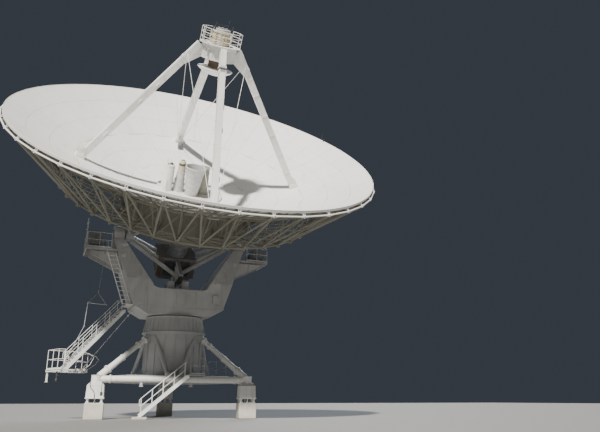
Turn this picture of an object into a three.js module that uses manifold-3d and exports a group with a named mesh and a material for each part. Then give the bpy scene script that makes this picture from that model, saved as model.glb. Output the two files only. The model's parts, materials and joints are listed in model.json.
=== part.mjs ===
// A 25 m radio telescope dish on a three-legged steel base, at full size.
// Millimetres, +Z up. The azimuth axis is vertical, the elevation axis runs along X,
// and the dish leans toward -Y. The last step moves the whole part so that the origin
// lies on the ground at the middle of its plan.
import * as THREE from 'three';
import { mergeVertices } from 'three/addons/utils/BufferGeometryUtils.js';
import Module from 'manifold-3d';

const wasm = await Module();
wasm.setup();

const DEGREE = Math.PI / 180;
const SEAT = 0.3; // gap left between two pieces that touch
const RUNNING_GAP = 5;

// Reflector and how it stands
const DISH_RADIUS = 12500;
const FOCAL_LENGTH = 9000;
const ELEVATION = 50.46; // degrees above the horizon at rest
const REST_LEAN = (90 - ELEVATION) * DEGREE;
const ELEVATION_AXIS_Z = 12500;
const VERTEX_OFFSET = 3800; // from the elevation axis to the vertex
const SHELL = 80;
const RIM_DROP = 160;
const EDGE_WIDTH = 60;
const PROFILE_STEPS = 7;
const PANEL_SIDES = 60;
const RIM_NODES = 40;

// Backing truss
const RIM_PIPE_RADIUS = 12640;
const RIM_PIPE_DROP = 330;
const OUTER_RING = { radius: 8800, z: 3900 };
const INNER_RING = { radius: 4600, z: 2450 };
const HUB_WALL = { inside: 4585, outside: 4625, bottom: 1700 };
const INNER_NODES = 20;
const TRUSS_BAR = 95;

// Vertex room, counterweight and trunnions
const ROOM_RADIUS = 1750;
const ROOM_BOTTOM = 900;
const NECK_RADIUS = 720;
const WEIGHT = { halfX: 1400, front: -800, back: 1500, top: -1100, bottom: -3000 };
const GEAR_RADIUS = 3480;
const SPOKE_HALF = 120;
const TRUNNION_RADIUS = 250;
const TRUNNION_BORE = 258;
const SHAFT_SIDES = 24;
const TRUNNION_INNER = 3350;

// Feeds and quadrupod
const FEED_RING_RADIUS = 2350;
const FEED_RING_TOP = 320;
const LEG_FOOT_RADIUS = 7700;
const LEG_TOP = { radius: 1150, z: 10900 };
const BARREL = { radius: 1180, bottom: 9750, top: 10700 };
const STEM = { radius: 385, bore: 393, depth: 400 };

// Base
const BASE_TURN = -7.9; // degrees that the base is turned from the yoke at rest
const LEG_ANGLES = { left: -150, right: -30, rear: 90 };
const BASE_RADIUS = 5560;
const PIER_SIDE = 1150;
const PIER_TOP = 1000;
const FOOT_BOTTOM = 1240;
const BEAM_Z = 2450;
const BEAM_RADIUS = 225;
const STUB_LENGTH = 820;
const DECK_THICK = 60;
const STRUT_START = new THREE.Vector3(5400, 0, 2620);
const STRUT_END = new THREE.Vector3(1900, 0, 5420);
const STRUT_RADIUS = 185;

// Tower
const DRUM_RADIUS = 2000;
const DRUM_BOTTOM = 2250;
const DRUM_TOP = 5600;
const SKIRT_RADIUS = 2120;
const SKIRT_TOP_RADIUS = 1950;
const SKIRT_TOP = 6700;
const TOWER_SIDES = 32;

// Yoke
const YOKE_BOTTOM = 6780;
const YOKE_INNER_FLOOR = 8600;
const ARM_BOTTOM = 9200;
const ARM_TOP = 12000;
const YOKE_DEPTH = { low: 1700, high: 800 };
const PLATFORM_Z = 11000;
const PLATFORM_REACH = 6550;
const PLATFORM_HALF = 1250;

// Hanging access stair
const HANG = { topX: -3500, headX: -3645, topZ: 7420, lowX: -7400, deckZ: 3000, endX: -8000 };
const HANG_SIDES = [-380, 320];
const HANG_PIVOT = { x: -3400, y: 0 };
const HANG_TURN = 20; // degrees that the hanging stair is turned toward the front

const BEAM_TOP = BEAM_Z + BEAM_RADIUS * Math.cos(Math.PI / 12);
const RAIL_HEIGHT = 1070;
const RAIL = 45;

const v = (x, y, z) => new THREE.Vector3(x, y, z);

// Height of the reflecting surface over the elevation axis at a radius
const surfaceZ = (radius) => VERTEX_OFFSET + radius * radius / (4 * FOCAL_LENGTH);

// Outer and inner edge of a yoke arm at a height
const yokeOuter = (z) => 3050 + 0.3617 * (z - 7250);
const yokeInner = (z) => 1950 + 0.66 * (z - 8900);

// A closed geometry becomes a solid whose faces point out
function solid(geometry) {
  const bare = geometry.clone();
  bare.deleteAttribute('normal');
  bare.deleteAttribute('uv');
  const merged = mergeVertices(bare, 0.01);
  const position = merged.attributes.position.array;
  const index = merged.index.array;
  const corner = (i) => v(position[3 * i], position[3 * i + 1], position[3 * i + 2]);
  const kept = [];
  let volume = 0;
  for (let i = 0; i < index.length; i += 3) {
    const [a, b, c] = [index[i], index[i + 1], index[i + 2]];
    if (a === b || b === c || a === c) continue;
    kept.push([a, b, c]);
    volume += corner(a).dot(corner(b).cross(corner(c)));
  }
  const faces = volume > 0 ? kept : kept.map(([a, b, c]) => [a, c, b]);
  return new wasm.Manifold(new wasm.Mesh({
    numProp: 3,
    vertProperties: new Float32Array(position),
    triVerts: new Uint32Array(faces.flat()),
  }));
}

// The geometry of a solid
function geometryOf(manifold) {
  const mesh = manifold.getMesh();
  const geometry = new THREE.BufferGeometry();
  geometry.setAttribute('position', new THREE.BufferAttribute(mesh.vertProperties, 3));
  geometry.setIndex(new THREE.BufferAttribute(mesh.triVerts, 1));
  return geometry;
}

const fuse = (pieces) => pieces.reduce((whole, piece) => whole.add(piece));

// A solid moved by a matrix, which may mirror it
function moved(shape, matrix) {
  const geometry = geometryOf(shape).applyMatrix4(matrix);
  const index = geometry.index.array;
  const mirrored = matrix.determinant() < 0;
  const order = mirrored ? [0, 2, 1] : [0, 1, 2];
  return new wasm.Manifold(new wasm.Mesh({
    numProp: 3,
    vertProperties: geometry.attributes.position.array,
    triVerts: index.map((_, i) => index[i - i % 3 + order[i % 3]]),
  }));
}

const spun = (shape, degrees) => moved(shape, new THREE.Matrix4().makeRotationZ(degrees * DEGREE));
const shifted = (shape, x, y, z) => moved(shape, new THREE.Matrix4().makeTranslation(x, y, z));
const mirrored = (shape) => moved(shape, new THREE.Matrix4().makeScale(-1, 1, 1));

// A box between two corners
function box(x0, x1, y0, y1, z0, z1) {
  const geometry = new THREE.BoxGeometry(x1 - x0, y1 - y0, z1 - z0);
  geometry.translate((x0 + x1) / 2, (y0 + y1) / 2, (z0 + z1) / 2);
  return solid(geometry);
}

// Turns a geometry whose length runs along +Z so that it runs from one point to another
function lay(geometry, from, to, side) {
  const along = to.clone().sub(from).normalize();
  const lead = Math.abs(side.dot(along)) > 0.99 ? v(1, 0, 0) : side;
  const across = lead.clone().addScaledVector(along, -lead.dot(along)).normalize();
  const third = along.clone().cross(across);
  const middle = from.clone().add(to).multiplyScalar(0.5);
  const matrix = new THREE.Matrix4().makeBasis(across, third, along).setPosition(middle);
  return solid(geometry.applyMatrix4(matrix));
}

// A bar of box section: width lies along side, depth across it
function bar(from, to, width, depth, side = v(0, 0, 1)) {
  return lay(new THREE.BoxGeometry(width, depth, from.distanceTo(to)), from, to, side);
}

// A round rod, its first corner turned by half a side so that a flat lies along side
function rod(from, to, radius, sides = 8, side = v(0, 0, 1), endRadius = radius) {
  const geometry = new THREE.CylinderGeometry(endRadius, radius, from.distanceTo(to), sides);
  geometry.rotateX(Math.PI / 2);
  geometry.rotateZ(Math.PI / sides);
  return lay(geometry, from, to, side);
}

// A vertical cylinder or cone
function drum(radius, z0, z1, sides, x = 0, y = 0, topRadius = radius) {
  const geometry = new THREE.CylinderGeometry(topRadius, radius, z1 - z0, sides);
  geometry.rotateX(Math.PI / 2);
  geometry.translate(x, y, (z0 + z1) / 2);
  return solid(geometry);
}

// A flat outline in X and Y, raised from z0 to z1
function slab(points, z0, z1, hole = null) {
  const shape = new THREE.Shape(points.map(([x, y]) => new THREE.Vector2(x, y)));
  if (hole) shape.holes.push(new THREE.Path(hole.map(([x, y]) => new THREE.Vector2(x, y))));
  const geometry = new THREE.ExtrudeGeometry(shape, { depth: z1 - z0, bevelEnabled: false });
  geometry.translate(0, 0, z0);
  return solid(geometry);
}

// An outline in X and Z, thick between two values of Y
function wall(points, y0, y1) {
  const shape = new THREE.Shape(points.map(([x, z]) => new THREE.Vector2(x, z)));
  const geometry = new THREE.ExtrudeGeometry(shape, { depth: y1 - y0, bevelEnabled: false });
  geometry.rotateX(Math.PI / 2);
  geometry.translate(0, y1, 0);
  return solid(geometry);
}

// A profile of [radius, z] points turned about Z
function turned(points, sides) {
  const profile = points.map(([r, z]) => new THREE.Vector2(r, z));
  const geometry = new THREE.LatheGeometry(profile, sides);
  geometry.rotateX(Math.PI / 2);
  return solid(geometry);
}

const circle = (radius, sides, turn = 0) => Array.from({ length: sides }, (_, i) => {
  const angle = 2 * Math.PI * i / sides + turn;
  return [radius * Math.cos(angle), radius * Math.sin(angle)];
});

// A guard rail along a path of floor points: posts with two rails
function guardRail(path, height = RAIL_HEIGHT) {
  const up = (point, z) => v(point.x, point.y, point.z + z);
  const posts = path.map((point) => bar(point, up(point, height + 2), RAIL, RAIL));
  const rails = path.slice(1).flatMap((point, i) => [height - RAIL, height / 2].map((z) => (
    bar(up(path[i], z), up(point, z), RAIL - 6, RAIL - 6))));
  return fuse([...posts, ...rails]);
}

// A straight flight that runs along X between two stringers, with treads and handrails
function flight(xTop, zTop, xLow, zLow, y0, y1, steps) {
  const stringer = (y) => bar(v(xTop, y, zTop), v(xLow, y, zLow), 240, 50);
  const parts = [stringer(y0 + 25), stringer(y1 - 25)];
  for (let i = 1; i < steps; i++) {
    const share = i / steps;
    const x = xTop + share * (xLow - xTop);
    const z = zTop + share * (zLow - zTop);
    parts.push(box(x - 120, x + 120, y0 + 25, y1 - 25, z + 20, z + 60));
  }
  for (const y of [y0 + 25, y1 - 25]) {
    const foot = (share) => v(xTop + share * (xLow - xTop), y, zTop + share * (zLow - zTop));
    parts.push(guardRail([0.06, 0.36, 0.66, 0.96].map(foot)));
  }
  return fuse(parts);
}

const group = new THREE.Group();
const baseGroup = new THREE.Group();
const yokeGroup = new THREE.Group();
const dishGroup = new THREE.Group();
baseGroup.rotation.z = BASE_TURN * DEGREE;
dishGroup.position.z = ELEVATION_AXIS_Z;
dishGroup.rotation.x = REST_LEAN;
group.add(baseGroup, yokeGroup, dishGroup);

const PAINT = [0xe9e9e4, 0.55, 0.1];
const PANEL = [0xf2f1ec, 0.6, 0.05];
const SHADED = [0xc9cbc9, 0.6, 0.1];
const CONCRETE = [0xc8c4b8, 0.9, 0];
const DARK = [0x4a4c4c, 0.6, 0.3];
const GALVANISED = [0xb4b8b8, 0.5, 0.6];
const CREAM = [0xd8d0b4, 0.6, 0.1];
const BROWN = [0x6e4a38, 0.7, 0.2];

// Adds a named piece to a group
function place(parent, name, shape, [color, roughness, metalness]) {
  const material = new THREE.MeshStandardMaterial({ color, roughness, metalness });
  const mesh = new THREE.Mesh(geometryOf(shape), material);
  mesh.name = name;
  parent.add(mesh);
  return mesh;
}

// Piers, feet and struts, each built on its own leg where +X points outward
const strutRun = STRUT_END.clone().sub(STRUT_START);
const strutWay = strutRun.clone().normalize();
const strutAt = (length) => STRUT_START.clone().addScaledVector(strutWay, length);
const strutLength = strutRun.length();
const SOCKET_END = 700;
const BOSS_START = 520;

// The piers and the boxes of the feet keep their sides along the base, whatever way the leg points
function squared(turn, lowHalf, highHalf, z0, z1) {
  const body = new THREE.CylinderGeometry(highHalf * Math.SQRT2, lowHalf * Math.SQRT2, z1 - z0, 4);
  body.rotateX(Math.PI / 2);
  body.rotateZ(Math.PI / 4 - turn * DEGREE);
  body.translate(BASE_RADIUS, 0, (z0 + z1) / 2);
  return solid(body);
}

function foot(turn) {
  const parts = [
    squared(turn, 570, 570, FOOT_BOTTOM, FOOT_BOTTOM + 70),
    squared(turn, 550, 520, FOOT_BOTTOM + 60, FOOT_BOTTOM + 820),
    squared(turn, 520, 290, FOOT_BOTTOM + 810, FOOT_BOTTOM + 1060),
    drum(330, FOOT_BOTTOM + 1000, BEAM_Z + 230, 12, BASE_RADIUS),
  ];
  for (const x of [-420, 420]) {
    for (const y of [-420, 420]) {
      const bolt = v(x, y, 0).applyAxisAngle(v(0, 0, 1), -turn * DEGREE);
      parts.push(drum(90, PIER_TOP + SEAT, FOOT_BOTTOM + 10, 8, BASE_RADIUS + bolt.x, bolt.y));
    }
  }
  for (const side of [-1, 1]) {
    const way = v(-Math.cos(30 * DEGREE), side * Math.sin(30 * DEGREE), 0);
    const centre = v(BASE_RADIUS, 0, BEAM_Z);
    const end = centre.clone().addScaledVector(way, STUB_LENGTH);
    parts.push(rod(centre, end, BEAM_RADIUS, 12));
    parts.push(rod(end.clone().addScaledVector(way, -50), end, 290, 12));
  }
  parts.push(rod(STRUT_START, strutAt(SOCKET_END), 250, 12));
  parts.push(rod(strutAt(SOCKET_END - 60), strutAt(SOCKET_END), 300, 12));
  return fuse(parts);
}

function strut() {
  const end = strutLength - BOSS_START - SEAT;
  const start = SOCKET_END + SEAT;
  return fuse([
    rod(strutAt(start), strutAt(end), STRUT_RADIUS, 12),
    rod(strutAt(start), strutAt(start + 60), 300, 12),
    rod(strutAt(start), strutAt(start + 1300), 220, 12),
    rod(strutAt(start + 1240), strutAt(start + 1320), 260, 12),
    rod(strutAt(end - 640), strutAt(end - 540), 250, 12),
    rod(strutAt(end - 50), strutAt(end), 270, 12),
  ]);
}

for (const [name, angle] of Object.entries(LEG_ANGLES)) {
  const leg = new THREE.Group();
  leg.rotation.z = angle * DEGREE;
  baseGroup.add(leg);
  const half = PIER_SIDE / 2;
  place(leg, `pier_${name}`, squared(angle, half, half, 0, PIER_TOP), CONCRETE);
  place(leg, `foot_${name}`, foot(angle), PAINT);
  place(leg, `strut_${name}`, strut(), PAINT);
}

// Beams between the feet, built where +X points from the tower to the beam's middle
const BEAM_OUT = BASE_RADIUS * Math.sin(30 * DEGREE);
const BEAM_HALF = BASE_RADIUS * Math.cos(30 * DEGREE) - STUB_LENGTH - SEAT;
const SIDE_ANGLES = { front: -90, right: 30, left: 150 };

function beam() {
  const end = (y) => v(BEAM_OUT, y, BEAM_Z);
  return fuse([
    rod(end(-BEAM_HALF), end(BEAM_HALF), BEAM_RADIUS, 12),
    rod(end(-BEAM_HALF), end(-BEAM_HALF + 50), 290, 12),
    rod(end(BEAM_HALF - 50), end(BEAM_HALF), 290, 12),
  ]);
}

for (const [name, angle] of Object.entries(SIDE_ANGLES)) {
  const side = new THREE.Group();
  side.rotation.z = angle * DEGREE;
  baseGroup.add(side);
  place(side, `beam_${name}`, beam(), PAINT);
}

// The tower drum with the bosses of the struts and the V braces down to the beams
function braces() {
  const plate = box(BEAM_OUT - 50, BEAM_OUT + 50, -640, 640, BEAM_TOP + SEAT, BEAM_TOP + 40);
  const bars = [-1, 1].map((side) => (
    rod(v(1400, side * 1330, 5330), v(BEAM_OUT, side * 440, BEAM_TOP + 130), 140, 8)));
  const lugs = [-1, 1].map((side) => (
    box(BEAM_OUT - 50, BEAM_OUT + 50, side * 440 - 170, side * 440 + 170, BEAM_TOP + 20, BEAM_TOP + 190)));
  return fuse([plate, ...bars, ...lugs]);
}

function towerDrum() {
  const parts = [
    drum(DRUM_RADIUS, DRUM_BOTTOM, DRUM_TOP - SEAT, TOWER_SIDES),
    drum(DRUM_RADIUS + 110, DRUM_TOP - 120, DRUM_TOP - SEAT, TOWER_SIDES),
  ];
  for (const angle of Object.values(LEG_ANGLES)) {
    const boss = rod(strutAt(strutLength - BOSS_START), STRUT_END, 230, 12);
    parts.push(spun(boss, angle));
  }
  for (const angle of Object.values(SIDE_ANGLES)) parts.push(spun(braces(), angle));
  return fuse(parts);
}

function towerSkirt() {
  const cone = drum(SKIRT_RADIUS, DRUM_TOP, SKIRT_TOP, TOWER_SIDES, 0, 0, SKIRT_TOP_RADIUS);
  const ledge = drum(SKIRT_RADIUS + 90, DRUM_TOP, DRUM_TOP + 60, TOWER_SIDES);
  const head = drum(SKIRT_TOP_RADIUS + 60, SKIRT_TOP - 70, SKIRT_TOP, TOWER_SIDES);
  return fuse([cone, ledge, head]);
}

place(baseGroup, 'tower_drum', towerDrum(), PAINT);
place(baseGroup, 'tower_skirt', towerSkirt(), PAINT);

// The bearing ring clears the yoke but for the narrow race that carries it
const race = drum(1500, YOKE_BOTTOM - 20, YOKE_BOTTOM - SEAT, TOWER_SIDES);
const bearingRing = drum(1900, SKIRT_TOP + SEAT, YOKE_BOTTOM - RUNNING_GAP, TOWER_SIDES);
place(baseGroup, 'azimuth_bearing', bearingRing.add(race), DARK);

// Deck inside the triangle of beams, with the landing of the lower stair over the front beam
const DECK_BOTTOM = BEAM_TOP + SEAT;
const DECK_TOP = DECK_BOTTOM + DECK_THICK;
const LANDING = { x0: 900, x1: 1900, y0: -3720, y1: -2500 };

function baseDeck() {
  const inset = 2590;
  const cut = 3900;
  const corners = Object.values(LEG_ANGLES).flatMap((angle) => {
    const reach = (cut / 2 - inset) / Math.cos(30 * DEGREE);
    return [reach, -reach].map((y) => v(cut, y, 0).applyAxisAngle(v(0, 0, 1), angle * DEGREE));
  });
  const plate = slab(corners.map((p) => [p.x, p.y]), DECK_BOTTOM, DECK_TOP,
    circle(DRUM_RADIUS + SEAT * 1.5, TOWER_SIDES));
  const landing = box(LANDING.x0, LANDING.x1, LANDING.y0, LANDING.y1, DECK_BOTTOM, DECK_TOP);
  const atEdge = (y) => (
    v(inset - 60, y, DECK_TOP - 5).applyAxisAngle(v(0, 0, 1), SIDE_ANGLES.right * DEGREE));
  const edges = [[-2850, -1750, -860], [-330, 330], [860, 1700]].map((row) => guardRail(row.map(atEdge)));
  const outer = LANDING.x1 - 40;
  const front = LANDING.y0 + 40;
  const landingRail = guardRail([v(LANDING.x0 + 60, front, DECK_TOP - 5), v(outer, front, DECK_TOP - 5),
    v(outer, -2560, DECK_TOP - 5)]);
  return fuse([plate, landing, ...edges, landingRail]);
}

const STAIR = { run: 2850, y0: -3700, y1: -3060, padTop: 150 };

function lowerStair() {
  const xTop = LANDING.x0 - 130;
  const whole = flight(xTop, DECK_BOTTOM - 60, xTop - STAIR.run, STAIR.padTop + 60, STAIR.y0, STAIR.y1, 11);
  const head = box(LANDING.x0 - 300, LANDING.x0 - SEAT, STAIR.y0, STAIR.y1, DECK_BOTTOM - 200, DECK_TOP);
  const keep = box(-4000, LANDING.x0 - SEAT, -4000, -3010, STAIR.padTop + SEAT, 5000);
  return whole.add(head).intersect(keep);
}

place(baseGroup, 'base_deck', baseDeck(), GALVANISED);
place(baseGroup, 'lower_stair', lowerStair(), PAINT);
place(baseGroup, 'stair_pad', box(-2500, -1600, STAIR.y0 - 120, STAIR.y1 + 120, 0, STAIR.padTop), CONCRETE);

// The yoke is a U of box plate: one cross beam and two arms, thinner toward their tops
function yokeTaper() {
  const points = [[-YOKE_DEPTH.low, 0], [YOKE_DEPTH.low, 0], [YOKE_DEPTH.low, YOKE_INNER_FLOOR],
    [YOKE_DEPTH.high, ARM_TOP], [-YOKE_DEPTH.high, ARM_TOP], [-YOKE_DEPTH.low, YOKE_INNER_FLOOR]];
  const across = wall(points, -8000, 8000);
  return spun(across, 90);
}

function yokeBeam() {
  const bend = { x: 1450, width: 500, height: 300 };
  const corner = [90, 60, 30, 0].map((degrees) => [
    bend.x + bend.width * Math.sin(degrees * DEGREE),
    YOKE_INNER_FLOOR + bend.height * (1 - Math.cos(degrees * DEGREE)),
  ]);
  const half = [[2200, YOKE_BOTTOM], [3050, 7250], [yokeOuter(ARM_BOTTOM), ARM_BOTTOM],
    [yokeInner(ARM_BOTTOM), ARM_BOTTOM], ...corner];
  const other = half.map(([x, z]) => [-x, z]).reverse();
  return wall([...half, ...other], -2000, 2000).intersect(yokeTaper());
}

function yokeArm(side) {
  const bottom = ARM_BOTTOM + SEAT;
  const points = [[yokeInner(bottom), bottom], [yokeOuter(bottom), bottom],
    [yokeOuter(ARM_TOP), ARM_TOP], [yokeInner(ARM_TOP), ARM_TOP]];
  return wall(points.map(([x, z]) => [side * x, z]), -2000, 2000).intersect(yokeTaper());
}

function bearing(side) {
  const [x0, x1] = side > 0 ? [4010, 4720] : [-4720, -4010];
  const block = box(x0, x1, -680, 680, ARM_TOP + SEAT, ARM_TOP + 560);
  const cap = rod(v(x0, 0, ELEVATION_AXIS_Z), v(x1, 0, ELEVATION_AXIS_Z), 600, 16);
  const below = box(x0 - 10, x1 + 10, -800, 800, ARM_TOP - 900, ARM_TOP + SEAT);
  const bore = rod(v(x0 - 10, 0, ELEVATION_AXIS_Z), v(x1 + 10, 0, ELEVATION_AXIS_Z),
    TRUNNION_BORE, SHAFT_SIDES);
  return block.add(cap).subtract(below).subtract(bore);
}

// Platform beside an arm with its brackets and guard rail
function platform(side) {
  const deckTop = PLATFORM_Z + 150;
  const seat = SEAT + 0.05;
  const plate = wall([[yokeOuter(PLATFORM_Z) + seat, PLATFORM_Z], [PLATFORM_REACH, PLATFORM_Z],
    [PLATFORM_REACH, deckTop], [yokeOuter(deckTop) + seat, deckTop]], -PLATFORM_HALF, PLATFORM_HALF);
  const bracket = (y) => wall([[yokeOuter(9800) + seat, 9800], [6200, PLATFORM_Z - 180],
    [6200, PLATFORM_Z + 20], [yokeOuter(PLATFORM_Z + 20) + seat, PLATFORM_Z + 20]], y - 60, y + 60);
  const z = deckTop - 5;
  const end = PLATFORM_REACH - 40;
  const edge = PLATFORM_HALF - 40;
  const rail = guardRail([v(4900, -edge, z), v(5700, -edge, z), v(end, -edge, z), v(end, 0, z),
    v(end, edge, z), v(5700, edge, z), v(4900, edge, z)]);
  const parts = [plate, bracket(-700), bracket(700), rail];
  if (side < 0) parts.push(rod(v(end, 0, z), v(end, 0, 13450), 40, 8));
  const whole = fuse(parts);
  return side > 0 ? whole : mirrored(whole);
}

function cabinets(side) {
  const z = PLATFORM_Z + 150 + SEAT;
  const height = side > 0 ? 950 : 1250;
  const whole = fuse([
    box(5450, 6380, -900, -150, z, z + height),
    box(5700, 6380, -160, 500, z, z + height * 0.7),
    box(5500, 6300, 490, 1000, z, z + height * 0.85),
  ]);
  return side > 0 ? whole : mirrored(whole);
}

function elevationDrive() {
  const floor = YOKE_INNER_FLOOR + SEAT;
  return fuse([
    box(-800, 800, -700, 700, floor, floor + 220),
    box(-760, -260, -600, 600, floor + 200, floor + 760),
    box(260, 760, -600, 600, floor + 200, floor + 760),
  ]);
}

// The hanging stair, its landing and its rods are turned together about the stair's top
const hangMatrix = new THREE.Matrix4().makeTranslation(HANG_PIVOT.x, HANG_PIVOT.y, 0)
  .multiply(new THREE.Matrix4().makeRotationZ(HANG_TURN * DEGREE))
  .multiply(new THREE.Matrix4().makeTranslation(-HANG_PIVOT.x, -HANG_PIVOT.y, 0));
const hung = (shape) => moved(shape, hangMatrix);
const hungPoint = (x, y, z) => v(x, y, z).applyMatrix4(hangMatrix);

// Ladder up the outer side of the left arm, from a small corner platform
function armLadder() {
  const gap = SEAT + 0.05;
  const y = -880;
  const line = (offset, z) => v(-(yokeOuter(z) + offset), y, z);
  const parts = [150, 700].map((offset) => bar(line(offset, 7450), line(offset, 11000), 60, 90));
  for (let z = 7750; z < 10950; z += 300) parts.push(rod(line(150, z), line(700, z), 22, 6));
  for (const z of [8300, 9700]) {
    parts.push(wall([[-(yokeOuter(z) + gap), z], [-(yokeOuter(z) + 160), z],
      [-(yokeOuter(z + 80) + 160), z + 80], [-(yokeOuter(z + 80) + gap), z + 80]], y - 50, y + 50));
  }
  const head = HANG_SIDES.map((side) => hungPoint(HANG.headX, side, 0));
  const plan = [[-3000, -1050], [-3000, 650], [-3300, 650], [head[1].x, head[1].y], [head[0].x, head[0].y],
    [head[0].x, -1050]];
  parts.push(wall([[-(yokeOuter(7400) + gap), 7400], [-4000, 7400], [-4000, 7460],
    [-(yokeOuter(7460) + gap), 7460]], -1050, 650).intersect(slab(plan, 7000, 8000)));
  for (const offset of [150, 700]) {
    parts.push(rod(line(offset, 7480), v(HANG.topX + 60, y, 7430), 30, 6));
  }
  return fuse(parts).intersect(box(-7000, 0, -2000, 2000, 7000, PLATFORM_Z - SEAT));
}

function hangingStair() {
  const extra = 200;
  const slope = (HANG.topZ - 140 - HANG.deckZ - 60) / (HANG.topX - HANG.lowX);
  const top = HANG.topZ - 140 + extra * slope;
  const whole = flight(HANG.topX + extra, top, HANG.lowX, HANG.deckZ + 60, ...HANG_SIDES, 19);
  return hung(whole.intersect(box(-9000, HANG.headX - SEAT, -2000, 2000, HANG.deckZ + SEAT, 9000)));
}

function hangingLanding() {
  const z = HANG.deckZ;
  const top = z - 5;
  const parts = [
    box(HANG.endX, HANG.lowX + 150, -450, 1300, z - 120, z),
    box(HANG.lowX + 140, -5600, 420, 1300, z - 120, z),
    guardRail([v(HANG.lowX - 150, -420, top), v(HANG.endX + 40, -420, top), v(HANG.endX + 40, 420, top),
      v(HANG.endX + 40, 1260, top), v(-7800, 1260, top), v(-6700, 1260, top), v(-5650, 1260, top)], 1250),
    guardRail([v(HANG.lowX + 1000, 460, top), v(-5650, 460, top)]),
    box(-7960, -7850, -360, -250, z - 740, z - 60),
  ];
  return hung(fuse(parts));
}

// Rod from the yoke's lower corner to the end of the hanging landing
function tieRod() {
  const foot = (z) => hungPoint(-5700, 900, z);
  const whole = fuse([
    rod(v(-2900, 900, 7220), foot(HANG.deckZ + 200), 35, 8),
    rod(foot(HANG.deckZ + 230), foot(HANG.deckZ + SEAT), 45, 8),
  ]);
  return whole.subtract(yokeBeamGrown);
}

// Cable, spreader and drop rods that carry the outer end of the hanging stair
function hoistBridle() {
  const y = -500;
  const spread = 7300;
  const whole = fuse([
    rod(v(-5550, y, PLATFORM_Z + 20), v(-5800, y, 8000), 25, 6),
    rod(v(-5800, y, 8010), v(-6450, y, spread), 22, 6),
    rod(v(-5800, y, 8010), v(-5150, y, spread), 22, 6),
    rod(v(-6490, y, spread), v(-5110, y, spread), 30, 6),
    rod(v(-6450, y, spread), v(-6550, y, 5750), 28, 6),
    rod(v(-6550, y, 5780), v(-7750, y, HANG.deckZ + 40), 28, 6),
    rod(v(-7750, y, HANG.deckZ + 60), v(-7750, y, HANG.deckZ - 60), 28, 6),
    box(-7790, -7710, -540, -450 - SEAT, HANG.deckZ - 90, HANG.deckZ + 10),
  ]);
  return hung(whole).intersect(box(-10000, -4000, -6000, 0, 0, PLATFORM_Z - SEAT));
}

const yokeBeamSolid = yokeBeam();
const yokeBeamGrown = shifted(yokeBeamSolid, -SEAT, 0, -SEAT).add(yokeBeamSolid);
place(yokeGroup, 'yoke_cross_beam', yokeBeamSolid, PAINT);
for (const [name, side] of [['left', -1], ['right', 1]]) {
  place(yokeGroup, `yoke_arm_${name}`, yokeArm(side), PAINT);
  place(yokeGroup, `elevation_bearing_${name}`, bearing(side), SHADED);
  place(yokeGroup, `platform_${name}`, platform(side), PAINT);
  place(yokeGroup, `cabinets_${name}`, cabinets(side), DARK);
}
place(yokeGroup, 'elevation_drive', elevationDrive(), SHADED);
place(yokeGroup, 'arm_ladder', armLadder(), PAINT);
place(yokeGroup, 'hanging_stair', hangingStair(), PAINT);
place(yokeGroup, 'hanging_landing', hangingLanding(), PAINT);
place(yokeGroup, 'tie_rod', tieRod(), PAINT);
place(yokeGroup, 'hoist_bridle', hoistBridle(), GALVANISED);

// The reflector is a thin paraboloid with a drop edge at its rim
function reflectorProfile(lift) {
  const rings = PROFILE_STEPS;
  const face = Array.from({ length: rings + 1 }, (_, i) => DISH_RADIUS * i / rings);
  const inner = DISH_RADIUS - EDGE_WIDTH;
  return [
    ...face.map((r) => [r, surfaceZ(r) + lift]),
    [DISH_RADIUS, surfaceZ(DISH_RADIUS) - RIM_DROP + lift],
    [inner, surfaceZ(DISH_RADIUS) - RIM_DROP + lift],
    [inner, surfaceZ(inner) - SHELL + lift],
    ...face.slice(0, -1).reverse().map((r) => [r, surfaceZ(r) - SHELL + lift]),
  ];
}

// Everything above the underside, which trims what reaches up to it
const EDGE_INNER = DISH_RADIUS - EDGE_WIDTH;
const EDGE_BOTTOM = surfaceZ(DISH_RADIUS) - RIM_DROP - SEAT;
const UNDERSIDE_START = PROFILE_STEPS + 4;
const REACH = 20000;
const underside = turned([
  [0, REACH],
  [DISH_RADIUS + SEAT, REACH],
  [DISH_RADIUS + SEAT, EDGE_BOTTOM],
  [EDGE_INNER - SEAT, EDGE_BOTTOM],
  [EDGE_INNER - SEAT, surfaceZ(EDGE_INNER) - SHELL - SEAT],
  ...reflectorProfile(-SEAT).slice(UNDERSIDE_START),
  [0, REACH],
], PANEL_SIDES);

// The backing truss: three rings, the zigzag between them, posts and spokes, and the plated wall
// of the hub, which shows as a closed dark surface behind the front bars
const polar = (radius, degrees, z) => (
  v(radius * Math.cos(degrees * DEGREE), radius * Math.sin(degrees * DEGREE), z));
const RIM_STEP = 360 / RIM_NODES;
const INNER_STEP = 360 / INNER_NODES;
const RIM_PIPE_Z = surfaceZ(DISH_RADIUS) - RIM_PIPE_DROP;
const SPREAD = 0.45; // degrees between two bars that end at one node

function ringOf(radius, z, half, sides, turn) {
  const profile = [[radius - half, z - half], [radius + half, z - half], [radius + half, z + half],
    [radius - half, z + half], [radius - half, z - half]];
  return spun(turned(profile, sides), turn);
}

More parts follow.
